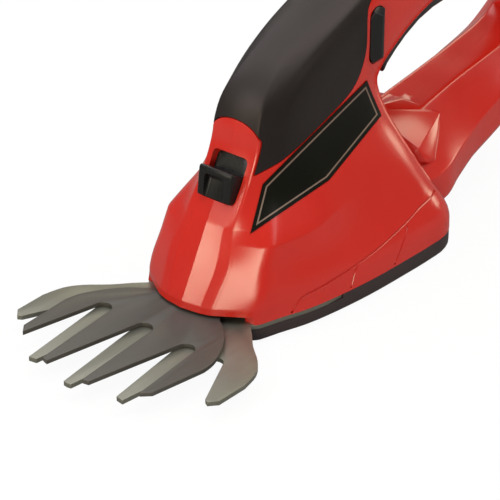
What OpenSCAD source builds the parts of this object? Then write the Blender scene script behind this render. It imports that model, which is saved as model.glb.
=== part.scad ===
// Cordless grass shears with a closed hand loop, a blade pack at the nose and a battery in the lower arm.
// Lengths are in millimetres. Drawing coordinates start at the centre tooth tip: +Y runs to the rear,
// +X is the user's left side, +Z is up and the sole's underside is at Z = 0.

/* [Body] */
// Length from the centre tooth tip to the rear of the butt
overall_len = 328; // [318:1:344]
// Distance of the nose's lower edge behind the centre tooth tip
nose_y = 65; // [62:0.5:67]
// Length of the body's base from nose to heel
base_len = 141; // [136:1:146]
// Half width of the body's base at its widest
base_hw = 44.5; // [43.5:0.5:48]
// Half width of the handle
handle_hw = 17.5; // [17.2:0.1:19]
// Height of the handle's crown above the ground
crown_z = 137; // [134:0.5:144]
// Wall thickness of the two housing shells
wall = 2.5; // [2:0.1:2.8]
// Thickness of the soft grip
grip_t = 1.6; // [1.2:0.1:1.8]
// Height of the badge panels above the shell
badge_rise = 0.4; // [0.2:0.1:0.8]
// Depth of the badge pockets in the shell
badge_depth = 1; // [0.6:0.1:1.2]

/* [Blades] */
// Distance between the outer tips of the fixed blade
cut_width = 100; // [94:1:106]
// Thickness of each blade
blade_t = 2; // [1.6:0.1:2.4]
// Height of the blade seat on the sole plate
sole_h = 6; // [5:0.5:7]
// Running gap between the two blades
blade_gap = 0.05; // [0.04:0.01:0.1]
// Distance of the blade pivot behind the centre tooth tip
pivot_y = 88; // [87:0.5:89]
// Radius of the blade pivot post
pivot_r = 4; // [3.5:0.1:4.5]
// Swing of the moving blade to each side of the middle, in degrees
swing_half = 7; // [5:0.5:8]
// Swing of the moving blade from the middle at rest, in degrees
swing_rest = -3.5; // [-4:0.5:0]

/* [Drive] */
// Module of the gear teeth
gear_module = 0.7; // [0.65:0.01:0.72]
// Teeth of the drive gear
gear_teeth = 54; // [50:2:56]
// Teeth of the motor pinion
pinion_teeth = 12; // [12:1:13]
// Width of the drive gear
gear_w = 6; // [5:0.5:7]
// Distance of the drive gear's centre behind the blade pivot
crank_reach = 24; // [23:0.5:25]
// Radius of the eccentric pin
pin_r = 3; // [2.5:0.1:3.2]
// Radius of the roller on the eccentric pin
roller_r = 4.5; // [4.2:0.1:5]
// Radius of the drive gear's shaft
gear_shaft_r = 3; // [2.5:0.1:3.5]
// Thickness of the gear plate
plate_t = 3; // [2.5:0.1:4]
// Radius of the motor can
motor_r = 13.85; // [12.5:0.05:14.2]
// Length of the motor can
motor_len = 38; // [34:0.5:40]
// Radius of the motor shaft
motor_shaft_r = 1.15; // [1:0.05:1.5]

/* [Controls] */
// Width of the release slide's window
window_w = 18; // [16:0.5:19]
// Length of the release slide's window
window_len = 20; // [19:0.5:21]
// Travel of the release slide
slide_travel = 7; // [5:0.5:7.5]
// Width of the lock button
button_w = 9.5; // [8:0.5:11]
// Length of the lock button
button_len = 25; // [22:0.5:27]
// Travel of the lock button
button_travel = 2.5; // [2:0.1:3]
// Half width of the trigger
trigger_hw = 10; // [8:0.5:10.5]
// Swing of the trigger, in degrees
trigger_swing = 5.5; // [4:0.5:6]
// Radius of the trigger pin
trigger_pin_r = 1.5; // [1.2:0.1:2]

/* [Battery] */
// Radius of a battery cell
cell_r = 9.15; // [8.8:0.05:9.25]
// Radius of the charging socket's hole
jack_r = 2.75; // [2.5:0.05:3]

/* [Fasteners] */
// Radius of the housing and sole screws
screw_r = 1.45; // [1.25:0.05:1.6]
// Radius of the screw heads
screw_head_r = 2.75; // [2.5:0.05:3]

/* [Fits] */
// Radial clearance of a turning shaft in its bore
run_fit = 0.04; // [0.03:0.01:0.06]
// Gap between a moving piece and the wall beside it
side_gap = 0.4; // [0.3:0.05:0.5]
// Gap of a seated piece inside its pocket
seat_gap = 0.1; // [0.05:0.05:0.2]

/* [Hidden] */
$fn = 48;

far = 200;
base_z = sole_h + blade_t;
heel_y = nose_y + base_len;
arm_len = overall_len - heel_y;

// Side view points are drawn for this nose, heel, length and crown, and placed where the sizes above put them
drawn = [65, 206, 328, 137];
arm_share = arm_len / (drawn[2] - drawn[1]);
function place_y(y) =
    y < drawn[0] ? y * nose_y / drawn[0]
    : y < drawn[1] ? nose_y + (y - drawn[0]) * base_len / (drawn[1] - drawn[0])
    : heel_y + (y - drawn[1]) * arm_share;
function place_z(z) = z * crown_z / drawn[3];
function place(p) = [place_y(p[0]), place_z(p[1])];
function place_all(points) = [for (p = points) place(p)];

// The sloping front face that carries the release slide
front_low = place([77.9, 30]);
front_high = place([100.6, 71]);
front_slope = atan2(front_high[1] - front_low[1], front_high[0] - front_low[0]);
function front_y(z) = front_low[0] + (z - front_low[1]) / tan(front_slope);
slide_z = place_z(59.7);
slide_y = front_y(slide_z);

// Blade pack heights
moving_z = base_z + blade_gap;
washer_t = 0.5;
washer_z = moving_z + blade_t + blade_gap;
post_head_z = washer_z + washer_t + blade_gap;
post_head_r = pivot_r + 1.5;
post_top_z = post_head_z + 2.4;
nose_gap = 1.2;
nose_slot_z = moving_z + blade_t + nose_gap;
blade_tail_y = place_y(122);

// Gear train
crank_y = pivot_y + crank_reach;
gear_z = nose_slot_z + 2.35;
gear_pitch_r = gear_module * gear_teeth / 2;
pinion_pitch_r = gear_module * pinion_teeth / 2;
motor_y = crank_y + gear_pitch_r + pinion_pitch_r;
gear_addendum = 0.8;
pinion_addendum = 1;
tooth_dedendum = 1.15;
tooth_backlash = 0.16;
pressure_angle = 20;
eccentric = crank_reach * tan(swing_half);
crank_rest = 90 * swing_rest / swing_half;
slot_gap = 0.8;
pin_end_z = base_z + 0.4;
plate_z = gear_z + gear_w + 1.4;
plate_top = plate_z + plate_t;
plate_hw = 0.54 * base_hw;
plate_y0 = crank_y - 21;
plate_y1 = motor_y + 17;
plate_screw_x = plate_hw - 3.5;
plate_screw_y = [plate_y0 + 4, plate_y1 - 4.5];
plate_screw_len = 8;
bush_r = gear_shaft_r + 2;
bush_len = 9;
bush_z = plate_z - 0.8;
boss_r = bush_r + 2.5;
boss_h = 5;
circlip_t = 0.8;
circlip_z = bush_z + bush_len + 0.3;
motor_boss_r = 5;
motor_boss_h = 2;
end_cap_h = 4;
end_cap_r = motor_r - 1.2;
motor_screw_x = 8;
lead_r = 0.9;
terminal_x = 4;

// Fasteners
screw_head_h = 2.2;
screw_seat_x = 9;
screw_half_len = 9;
screw_boss_r = screw_r + 2.6;
housing_screw_points = place_all([[111, 42], [172, 31], [172, 56], [128, 95], [254, 119], [298, 95],
                                  [285, 37]]);
sole_screw_points = [[0.74 * base_hw, place_y(132)], [0.765 * base_hw, place_y(182)]];
sole_screw_len = 16;
sole_head_depth = 3;

// Release slide
knob_w = window_w - 2 * side_gap;
knob_len = window_len - slide_travel - 2 * side_gap;
knob_rise = 4.5;
flange_y = wall + 1.9;
flange_t = 2;
flange_hw = knob_w / 2;
flange_bottom = -window_len / 2 - slide_travel - 0.6;
flange_top = window_len / 2 + 3;
catch_hw = 5;
catch_t = 4;
catch_gap = 0.3;
catch_end = base_z + 3.4;
slide_spring_r = 2;
slide_spring_len = 12.5;
slide_spring_y = slide_y + 15.2;
ledge_z = slide_z + 4.8;
ledge_t = 2;
ledge_hw = 4;
ledge_reach = 5;

// Lock button and trigger
button_y = place_y(172);
button_z = place_z(100);
button_rise = 3;
button_stem_r = 3;
button_flange_t = 1.5;
button_flange_margin = 1.6;
lock_spring_len = 6;
lock_spring_r = 2.2;
lock_peg_r = 1.2;
trigger_pivot = place([199, 96]);
trigger_hub_r = 4;
trigger_spring_y = place_y(234);
trigger_spring_z = place_z(103);
trigger_spring_len = 10.2;
trigger_spring_r = 2.4;
trigger_pin_half = trigger_hw + side_gap + 2.2;
switch_size = [10, 20 * arm_share, 9];
switch_y = place_y(206);
plunger_y = switch_y + 0.6 * switch_size[1];
plunger_len = 1.5;
plunger_w = 3;
switch_gap = 0.5;
switch_z = place_z(103.4) + (plunger_y + plunger_w - trigger_pivot[0]) * sin(trigger_swing)
           + plunger_len + switch_gap;

// Battery
cell_start = place([207, 27.5]);
cell_end = place([271, 38.8]);
cell_tilt = atan2(cell_end[1] - cell_start[1], cell_end[0] - cell_start[0]);
cell_len = norm(cell_end - cell_start);
cell_pitch = 2 * cell_r + 0.4;
tray_floor = 1.5;
tray_end_t = 1.6;
strip_t = 0.3;
strip_h = 8;
tray_hw = cell_pitch / 2 + 0.74 * cell_r;
board_t = 1.6;
board_hw = 11;
jack_z = place_z(63.5);
jack_body_r = jack_r + 2.75;
jack_len = 17;
jack_mouth_y = overall_len - 0.6;
jack_hole_len = 9.5;
board_end_y = jack_mouth_y - 9.5;
board_start_y = place_y(299);
board_len = board_end_y - board_start_y;
lamp_r = 2.5;
lamp_z = place_z(79);
lamp_y = overall_len - 9.5;
lamp_len = 5.8;
lamp_flange_r = lamp_r + 1;
lamp_flange_t = 1.2;

// Half outlines of a body section: [share of the way from front to rear, share of the half width]
iron_outline = [[0, 0], [0.012, 0.27], [0.05, 0.495], [0.09, 0.65], [0.184, 0.745], [0.284, 0.845],
                [0.404, 0.915], [0.54, 0.965], [0.69, 0.99], [0.8, 1], [0.887, 0.966], [0.95, 0.81],
                [0.986, 0.495], [1, 0]];
oval_outline = [[0, 0], [0.015, 0.5], [0.06, 0.8], [0.13, 0.93], [0.22, 0.98], [0.33, 1], [0.44, 1],
                [0.55, 1], [0.66, 0.99], [0.76, 0.96], [0.85, 0.88], [0.92, 0.74], [0.975, 0.46], [1, 0]];

// Body sections from the base up through the column and round the handle to the butt:
// [front y, front z, rear y, rear z, share of the handle's half width, flat half width, share of the oval]
body_sections = [
    [65, 0, 206, 0, 0, 12, 0],
    [69.5, 18, 204, 18, 0.075, 12, 0],
    [77.9, 30, 199, 30, 0.295, 12, 0.1],
    [86.2, 45, 193, 45, 0.535, 12, 0.3],
    [94.5, 60, 188, 60, 0.815, 12, 0.6],
    [100.6, 71, 185.5, 70, 0.945, 12, 0.85],
    [102.5, 80, 185.5, 75.5, 0.985, 11, 1],
    [107, 90, 187.5, 79, 1, 10, 1],
    [116.5, 101, 192, 83, 1, 9, 1],
    [131, 111, 198.5, 87.3, 1, 8, 1],
    [150, 119.5, 207, 92, 1, 8, 1],
    [174, 128, 218, 96, 1, 8, 1],
    [203, 134.3, 231, 98.3, 1, 8, 1],
    [236, 137, 245, 98.7, 1, 8, 1],
    [266, 133.5, 260, 96.5, 1, 8, 1],
    [291, 122.5, 275, 91, 1, 8, 1],
    [309, 106, 286, 84, 1, 8, 1],
    [321, 87, 292, 76, 1.02, 8, 1],
    [324.5, 72, 295, 67, 1.09, 7, 1],
    [320, 58, 300, 60, 1.18, 6, 1]];

// Arm sections from the body to the butt:
// [y, floor z, floor half width, low side x, low side z, wide x, wide z, top half width, top z]
arm_sections = [
    [178, 9, 20, 30, 14, 31, 28, 12, 45],
    [206, 8.5, 21, 29, 14, 29, 28, 11, 47],
    [225, 9.8, 19, 24, 16, 25, 31, 10.5, 50],
    [245, 13, 17, 21.5, 20, 23, 36, 10, 53],
    [270, 20.5, 16, 20.5, 27, 22, 44, 10, 56.5],
    [295, 32, 15, 19.5, 38, 21, 51, 10, 62],
    [312, 42, 14, 18.5, 48, 20, 61, 10, 76],
    [322, 50.5, 13, 17.5, 56, 18.5, 66, 9, 79],
    [328, 58, 9, 13, 61, 14, 66, 7, 72]];
drawn_cells_hw = 18.5;
arm_spread = (cell_pitch / 2 + cell_r) / drawn_cells_hw;
arm_lift = 0.5;

// Side view of the soft grip's lower edge, and of the badge panel
grip_edge = place_all([[99, 63], [125, 71], [148, 78], [157, 82], [162, 88], [165, 97], [165.3, 110],
                       [168, 115.5], [175, 119], [190, 120.5], [206, 122], [236, 124], [262, 121],
                       [284, 111.5], [297, 100], [304, 90]]);
grip_outside = place_all([[348, 97], [328, 157], [95, 157], [80, 117], [80, 63]]);
tongue_hw = 12.6;
tongue_top = place_z(83);
tongue_edge = [[-2, 0], [tongue_hw, 0], [tongue_hw, tongue_top - 6], [tongue_hw - 2, tongue_top - 2.5],
               [tongue_hw - 6, tongue_top - 0.7], [0, tongue_top], [-2, tongue_top]];
badge_edge = place_all([[88.6, 42.8], [98.5, 60], [167.5, 80], [171.2, 64.5], [129.5, 53.3]]);

// Trigger's side view, from the front end along the finger side to the rear and back inside the handle
trigger_edge = place_all([[188.2, 74.5], [190.6, 78], [196.5, 82.4], [203.5, 86.6], [212.5, 90.6],
                          [222.5, 93], [234, 94], [243, 94.4], [246.5, 96.5], [247, 101], [243, 104],
                          [231, 104.6], [214, 102], [203, 100], [195, 96], [189, 88], [186.6, 82]]);
trigger_slot = place_all([[184, 70], [196, 76], [251, 88], [251, 106], [228, 107.5], [210, 106], [196, 99],
                          [184, 90]]);

function unit(v) = v / norm(v);
function mix(a, b, t) = a + (b - a) * t;
function arc(c, r, a0, a1, n) =
    [for (i = [0:n])
        let (a = a0 + (a1 - a0) * i / n)
        c + r * [cos(a), sin(a)]];
function mirrored(p) = concat(p, [for (i = [len(p) - 1:-1:0]) if (abs(p[i][0]) > 0.001) [-p[i][0], p[i][1]]]);

// One half ring of a body section, set in by d, with some more where the section is an oval
function body_ring(s, d, more) =
    let (front = [place_y(s[0]), max(base_z, place_z(s[1]))],
         rear = [place_y(s[2]), max(base_z, place_z(s[3]))],
         half = mix(base_hw, handle_hw, s[4]), along = unit(rear - front), inset = d + more * s[6],
         a = front + inset * along, b = rear - inset * along, n = len(iron_outline))
    [for (i = [0:n - 1])
        let (u = mix(iron_outline[i][0], oval_outline[i][0], s[6]),
             w = i == 1 ? s[5] : half * mix(iron_outline[i][1], oval_outline[i][1], s[6]),
             p = a + u * (b - a))
        [i == 0 || i == n - 1 ? 0 : max(w - inset, 0.5), p[0], p[1]]];

// One half ring of an arm section, set in by d
function arm_ring(s, d) =
    let (y = place_y(s[0]), k = arm_spread, floor_z = max(base_z + arm_lift, place_z(s[1])) + d,
         top_z = place_z(s[8]) - d)
    [[0, y, floor_z], [s[2] * k - d, y, floor_z], [s[3] * k - d, y, place_z(s[4]) + d / 2],
     [s[5] * k - d, y, place_z(s[6])], [s[7] * k - d / 2, y, top_z], [0, y, top_z]];

// A closed half solid through half rings whose ends lie on the mid plane
module half_loft(rings) {
    n = len(rings[0]);
    m = len(rings);
    points = [for (r = rings) each r];
    skin = [for (i = [0:m - 2], j = [0:n - 2])
        let (a = i * n + j, b = (i + 1) * n + j)
        each [[a, b, b + 1], [a, b + 1, a + 1]]];
    split = [for (i = [0:m - 2])
        each [[i * n, i * n + n - 1, (i + 1) * n + n - 1], [i * n, (i + 1) * n + n - 1, (i + 1) * n]]];
    first_cap = [[for (j = [0:n - 1]) j]];
    last_cap = [[for (j = [n - 1:-1:0]) (m - 1) * n + j]];
    polyhedron(points, concat(skin, split, first_cap, last_cap));
}

// Half of the body, column and handle, set in by d; a drop lowers the base so that a cavity opens below
module body_half(d = 0, more = 0, drop = 0) {
    rings = [for (s = body_sections) body_ring(s, d, more)];
    lowered = [for (p = rings[0]) [p[0], p[1], p[2] - drop]];
    half_loft(drop > 0 ? concat([lowered], rings) : rings);
}

// Half of the arm, set in by d and shortened at its rear end by the same amount
module arm_half(d = 0) {
    last = len(arm_sections) - 1;
    rings = [for (i = [0:last])
        [for (p = arm_ring(arm_sections[i], d)) [p[0], (i == last ? d : 0) - p[1], p[2]]]];
    mirror([0, 1, 0]) half_loft(rings);
}

// Moves drawing coordinates so that the part's middle is at Y = 0
module from_tip() { translate([0, -overall_len / 2, 0]) children(); }

// The same piece on both sides of the mid plane
module both_sides() {
    children();
    mirror([1, 0, 0]) children();
}

// A solid with a side view outline, across the body from x0 to x1
module side_slab(outline, x0, x1) {
    translate([x0, 0, 0]) rotate([90, 0, 90]) linear_extrude(x1 - x0) polygon(outline);
}

// Local frame of the release slide: z runs up the front slope and y runs into the body
module slide_frame() { translate([0, slide_y, slide_z]) rotate([front_slope - 90, 0, 0]) children(); }

// Local frame of the battery: y runs along the cells
module cell_frame() { translate([0, cell_start[0], cell_start[1]]) rotate([cell_tilt, 0, 0]) children(); }

// A straight cylinder along X between two places
module across(x0, x1, r) { translate([x0, 0, 0]) rotate([0, 90, 0]) cylinder(h = x1 - x0, r = r); }

// A round wire swept along points
module wire(points, r, sides, ref) {
    n = len(points);
    rings = [for (i = [0:n - 1])
        let (t = unit(points[min(i + 1, n - 1)] - points[max(i - 1, 0)]),
             a = unit(cross(t, ref)), b = cross(a, t))
        each [for (k = [0:sides - 1]) points[i] + r * (a * cos(360 * k / sides) + b * sin(360 * k / sides))]];
    skin = [for (i = [0:n - 2], k = [0:sides - 1])
        let (k2 = (k + 1) % sides)
        each [[i * sides + k, (i + 1) * sides + k, (i + 1) * sides + k2],
              [i * sides + k, (i + 1) * sides + k2, i * sides + k2]]];
    first_cap = [[for (k = [0:sides - 1]) k]];
    last_cap = [[for (k = [sides - 1:-1:0]) (n - 1) * sides + k]];
    polyhedron(rings, concat(skin, first_cap, last_cap));
}

// A coil spring along Z from zero to its length
module coil(r, length, wire_r, turns) {
    steps = 14;
    count = turns * steps;
    wire([for (i = [0:count])
        let (a = 360 * i / steps)
        [r * cos(a), r * sin(a), wire_r * 1.2 + (length - 2.4 * wire_r) * i / count]],
        wire_r, 6, [0, 0, 1]);
}

// A screw along +Z: the head hangs below zero and the shank stands above it
module screw(length) {
    cylinder(h = length, r = screw_r);
    difference() {
        translate([0, 0, -screw_head_h]) cylinder(h = screw_head_h, r = screw_head_r);
        translate([0, 0, -screw_head_h - 0.1]) cylinder(h = 1.3, r = screw_head_r * 0.5, $fn = 6);
    }
}

// Involute spur gear around Z from zero to its width
function tooth_spread(r, base_r) =
    let (a = r > base_r ? acos(base_r / r) : 0)
    tan(a) * 180 / PI - a;
function tooth_half(teeth, r) =
    let (pitch_r = gear_module * teeth / 2, base_r = pitch_r * cos(pressure_angle))
    90 / teeth - tooth_backlash / 4 / pitch_r * 180 / PI
    + tooth_spread(pitch_r, base_r) - tooth_spread(r, base_r);
module spur_gear(teeth, width, bore_r, addendum) {
    pitch_r = gear_module * teeth / 2;
    root_r = pitch_r - tooth_dedendum * gear_module;
    tip_r = pitch_r + addendum * gear_module;
    flank = [for (i = [0:4]) root_r + (tip_r - root_r) * i / 4];
    points = [for (k = [0:teeth - 1])
        let (middle = 360 * k / teeth)
        each [for (i = [0:9])
            let (r = flank[min(i, 9 - i)], a = middle + (i < 5 ? -1 : 1) * tooth_half(teeth, r))
            r * [cos(a), sin(a)]]];
    difference() {
        linear_extrude(width) polygon(points);
        translate([0, 0, -1]) cylinder(h = width + 2, r = bore_r);
    }
}

// Region of the soft grip on one side, seen from the side
module grip_region() {
    difference() {
        side_slab(concat(grip_edge, grip_outside), -1, far);
        translate([0, nose_y + 50, 0]) rotate([90, 0, 0]) linear_extrude(60) polygon(tongue_edge);
    }
}

// The soft grip's half solid; a rise makes the tool that cuts its pocket
module grip_half(rise = 0) {
    intersection() {
        grip_region();
        difference() {
            body_half(-rise);
            body_half(grip_t);
        }
    }
}

module badge_half(rise) {
    intersection() {
        side_slab(badge_edge, 5, far);
        difference() {
            body_half(-rise);
            body_half(badge_depth);
        }
    }
}

// Bosses and ribs of a shell, trimmed by the shell's own outside
module shell_ribs() {
    intersection() {
        union() {
            for (p = housing_screw_points) translate([0, p[0], p[1]]) across(0, far / 2, screw_boss_r);
            for (p = sole_screw_points) translate([p[0], p[1], base_z]) {
                cylinder(h = 13, r = screw_boss_r);
                translate([0, -1.5, 0]) cube([far, 3, 13]);
            }
            for (y = plate_screw_y) {
                h = plate_z - base_z - 3;
                translate([plate_screw_x, y, base_z + 3]) cylinder(h = h, r = screw_boss_r);
                translate([plate_screw_x, y - 2, base_z + 3]) cube([far, 4, h]);
            }
            difference() {
                translate([motor_r - 3, motor_y - 12, plate_top + 22]) cube([far, 24, 2.5]);
                translate([0, motor_y, 0]) cylinder(h = far, r = motor_r + seat_gap);
            }
            translate([0, slide_spring_y - 8, ledge_z + slide_spring_len]) cube([far, 12, 2]);
            for (y = [0.12, 0.83] * cell_len)
                cell_frame() translate([0, y, -far]) cube([far, 3, far - cell_r - tray_floor]);
            translate([6, board_start_y + 1, jack_z - jack_body_r - board_t - 2])
                cube([far, 0.4 * board_len, 2]);
            translate([0, trigger_spring_y - 4, trigger_spring_z + trigger_spring_len]) cube([far, 8, 2]);
            translate([0, switch_y, switch_z + switch_size[2]]) cube([far, switch_size[1] - 2, 2]);
            translate([0, trigger_pivot[0], trigger_pivot[1]])
                across(trigger_hw + side_gap, far / 2, trigger_hub_r);
        }
        union() {
            body_half(wall - 0.4, 1);
            arm_half(wall - 0.4);
        }
    }
}

// Everything that is cut from a shell after its ribs are in place
module shell_cuts() {
    slide_frame() translate([-window_w / 2, -far, -window_len / 2])
        cube([window_w, far + flange_y, window_len]);
    translate([-far, nose_y - 10, -1]) cube([2 * far, 30, nose_slot_z + 1]);
    side_slab(trigger_slot, -1, trigger_hw + side_gap);
    translate([0, trigger_pivot[0], trigger_pivot[1]])
        across(-1, trigger_pin_half + 0.1, trigger_pin_r + 0.02);
    for (p = sole_screw_points) translate([p[0], p[1], 0])
        cylinder(h = sole_screw_len + 3, r = screw_r + 0.02);
    for (y = plate_screw_y)
        translate([plate_screw_x, y, plate_top - plate_screw_len - 1])
            cylinder(h = plate_screw_len + 2, r = screw_r + 0.02);
    translate([0, jack_mouth_y - jack_len, jack_z]) rotate([-90, 0, 0])
        cylinder(h = far, r = jack_body_r + seat_gap);
    translate([0, lamp_y, lamp_z]) rotate([-90, 0, 0]) cylinder(h = far, r = lamp_r + seat_gap);
    translate([0, lamp_y - 3, lamp_z]) rotate([-90, 0, 0])
        cylinder(h = 3 + lamp_flange_t + seat_gap, r = lamp_flange_r + seat_gap);
}

// A shell on the +X side, without what belongs to one side only
module shell() {
    difference() {
        union() {
            difference() {
                union() {
                    body_half();
                    arm_half();
                }
                grip_half(1);
                badge_half(1);
                body_half(wall, 1, base_z);
                arm_half(wall);
            }
            shell_ribs();
        }
        shell_cuts();
    }
}

// Outline of the lock button or of its opening, extruded along X
module button_block(x0, x1, margin) {
    w = button_w / 2 + margin;
    straight = button_len / 2 - button_w / 2;
    translate([0, button_y, button_z]) {
        for (s = [-1, 1]) translate([0, 0, s * straight]) across(x0, x1, w);
        translate([x0, -w, -straight]) cube([x1 - x0, 2 * w, 2 * straight]);
    }
}

button_flange_x = handle_hw - wall - 1 - side_gap;
button_stem_x = -4;
lock_spring_seat_x = button_stem_x - lock_spring_len - button_travel - side_gap;

module housing_left() {
    color("firebrick") from_tip() difference() {
        shell();
        button_block(0, far, side_gap);
        button_block(0, button_flange_x + side_gap, button_flange_margin + side_gap);
        for (p = housing_screw_points) translate([0, p[0], p[1]])
            across(-1, screw_half_len + 1, screw_r + 0.02);
    }
}

module housing_right() {
    color("firebrick") from_tip() difference() {
        union() {
            mirror([1, 0, 0]) shell();
            translate([0, button_y, button_z]) {
                across(-handle_hw + wall, lock_spring_seat_x, button_stem_r);
                across(-handle_hw + wall, button_stem_x - button_travel - 1, lock_peg_r);
            }
        }
        for (p = housing_screw_points) translate([0, p[0], p[1]]) {
            across(-screw_seat_x - 1, 1, screw_r + 0.02);
            across(-far, -screw_seat_x, screw_head_r + 0.3);
        }
    }
}

module soft_grip() {
    color("dimgray") from_tip() difference() {
        both_sides() grip_half();
        button_block(0, far, side_gap);
    }
}

module badge_left() { color("black") from_tip() badge_half(badge_rise); }
module badge_right() { color("black") from_tip() mirror([1, 0, 0]) badge_half(badge_rise); }

module sole_plate() {
    ring = body_ring(body_sections[0], 0, 0);
    outline = mirrored([for (p = ring) [p[0], p[1]]]);
    color("dimgray") from_tip() difference() {
        linear_extrude(base_z) polygon(outline);
        translate([-far, nose_y - 10, sole_h]) cube([2 * far, blade_tail_y + seat_gap - nose_y + 10, far]);
        translate([-far, nose_y - 10, -1]) cube([2 * far, 15, far]);
        both_sides() for (p = sole_screw_points) translate([p[0], p[1], 0]) {
            translate([0, 0, -1]) cylinder(h = far, r = screw_r + 0.1);
            translate([0, 0, -1]) cylinder(h = sole_head_depth + 1, r = screw_head_r + 0.3);
        }
    }
}

// Half outline of the fixed blade, from the centre tip round the side to the tail
function fixed_half() =
    let (k = cut_width / 100,
         teeth = concat([[1.9, 0.3], [7.6, 46]], arc([11.6, 47], 4, 180, 0, 6),
                        [[15.6, 46], [21.2, 5.2], [24.8, 4.6]], arc([34, 47.5], 4, 180, 10, 6),
                        [[48.6, 25.4], [50.5, 24.3], [53.6, 27.8], [53.9, 42.8],
                        [51.5, 52.5], [46.5, 59.5], [38.5, 66.5], [32.1, 73.5]]))
    [for (p = teeth) [p[0] * k, p[1]]];

module fixed_blade() {
    ring = body_ring(body_sections[0], 0.2, 0);
    tail = concat([for (p = ring) if (p[1] > nose_y + 13 && p[1] < blade_tail_y - 4) [p[0], p[1]]],
                  [[base_hw * 0.9, blade_tail_y], [0, blade_tail_y]]);
    color("darkkhaki") from_tip() difference() {
        translate([0, 0, sole_h]) linear_extrude(blade_t)
            polygon(mirrored(concat([[0, 0]], fixed_half(), tail)));
        translate([0, pivot_y, 0]) cylinder(h = far, r = pivot_r);
    }
}

// Half outline of the moving blade in its own frame, from the centre gap round the side to the tail's end
function moving_half() =
    let (k = cut_width / 100,
         front = concat([[0, 51]], arc([0, 47], 4, 80, 0, 4), [[10, 3.9], [13, 4.6]],
                        arc([23.5, 47], 4, 180, 0, 6), [[33, 12.2], [36.5, 16], [39.3, 41.5], [38, 48.5],
                        [33.5, 57.5], [28, 64.8], [21.5, 70.3], [17.5, 73]]))
    concat([for (p = front) [p[0] * k, p[1]]],
           [[14.5, pivot_y - 9], [12.5, pivot_y], [11, pivot_y + 9], [roller_r + slot_gap + 4, pivot_y + 14],
            [roller_r + slot_gap + 4, crank_y + eccentric + roller_r + 4],
            [0, crank_y + eccentric + roller_r + 4]]);

module moving_blade() {
    color("dimgray") from_tip() translate([0, pivot_y, moving_z]) rotate([0, 0, swing_rest])
        translate([0, -pivot_y, 0]) difference() {
            linear_extrude(blade_t) polygon(mirrored(moving_half()));
            translate([0, pivot_y, -1]) cylinder(h = far, r = pivot_r + run_fit);
            translate([-roller_r - slot_gap, crank_y - 1, -1])
                cube([2 * (roller_r + slot_gap), eccentric + 1.5, far]);
            for (y = [crank_y - 1, crank_y + eccentric + 0.5])
                translate([0, y, -1]) cylinder(h = far, r = roller_r + slot_gap);
        }
}

module blade_pivot() {
    color("silver") from_tip() translate([0, pivot_y, 0]) {
        translate([0, 0, sole_h]) cylinder(h = post_top_z - sole_h, r = pivot_r);
        translate([0, 0, post_head_z]) cylinder(h = post_top_z - post_head_z, r = post_head_r);
    }
}

module pivot_washer() {
    color("silver") from_tip() translate([0, pivot_y, washer_z]) difference() {
        cylinder(h = washer_t, r = post_head_r + 1.5);
        translate([0, 0, -1]) cylinder(h = far, r = pivot_r + run_fit);
    }
}

// Place of the eccentric pin at rest
pin_at = [-eccentric * sin(crank_rest), crank_y + eccentric * cos(crank_rest)];

module drive_gear() {
    color("gainsboro") from_tip() translate([0, crank_y, gear_z]) difference() {
        rotate([0, 0, 90 + 180 / gear_teeth]) spur_gear(gear_teeth, gear_w, gear_shaft_r, gear_addendum);
        translate([pin_at[0], pin_at[1] - crank_y, -1]) cylinder(h = gear_w / 2 + 1, r = pin_r);
    }
}

module gear_shaft() {
    color("silver") from_tip() translate([0, crank_y, gear_z + gear_w / 2])
        cylinder(h = circlip_z + circlip_t + 0.6 - gear_z - gear_w / 2, r = gear_shaft_r);
}

module eccentric_pin() {
    color("silver") from_tip() translate([pin_at[0], pin_at[1], pin_end_z])
        cylinder(h = gear_z + gear_w / 2 - pin_end_z, r = pin_r);
}

module eccentric_roller() {
    color("goldenrod") from_tip() translate([pin_at[0], pin_at[1], pin_end_z + 0.1]) difference() {
        cylinder(h = gear_z - pin_end_z - 0.4, r = roller_r);
        translate([0, 0, -1]) cylinder(h = far, r = pin_r + run_fit);
    }
}

module shaft_bush() {
    color("goldenrod") from_tip() translate([0, crank_y, bush_z]) difference() {
        union() {
            cylinder(h = bush_len, r = bush_r);
            cylinder(h = plate_z - bush_z, r = bush_r + 1.5);
        }
        translate([0, 0, -1]) cylinder(h = far, r = gear_shaft_r + run_fit);
    }
}

module shaft_circlip() {
    color("dimgray") from_tip() translate([0, crank_y, circlip_z]) difference() {
        cylinder(h = circlip_t, r = gear_shaft_r + 1.6);
        translate([0, 0, -1]) cylinder(h = far, r = gear_shaft_r);
    }
}

module gear_plate() {
    corner = 6;
    outline = [[plate_hw, plate_y0 + corner], [plate_hw, plate_y1 - corner], [plate_hw - corner, plate_y1],
               [-plate_hw + corner, plate_y1], [-plate_hw, plate_y1 - corner], [-plate_hw, plate_y0 + corner],
               [-plate_hw + corner, plate_y0], [plate_hw - corner, plate_y0]];
    color("lightsteelblue") from_tip() difference() {
        union() {
            translate([0, 0, plate_z]) linear_extrude(plate_t) polygon(outline);
            translate([0, crank_y, plate_z]) cylinder(h = plate_t + boss_h, r = boss_r);
        }
        translate([0, crank_y, 0]) cylinder(h = far, r = bush_r);
        translate([0, motor_y, 0]) cylinder(h = far, r = motor_boss_r + seat_gap);
        for (x = [-1, 1]) {
            translate([x * motor_screw_x, motor_y, 0]) cylinder(h = far, r = screw_r + seat_gap);
            for (y = plate_screw_y)
                translate([x * plate_screw_x, y, 0]) cylinder(h = far, r = screw_r + seat_gap);
        }
    }
}

module plate_screws() {
    color("silver") from_tip() both_sides() for (y = plate_screw_y)
        translate([plate_screw_x, y, plate_top]) rotate([180, 0, 0]) screw(plate_screw_len);
}

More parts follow.
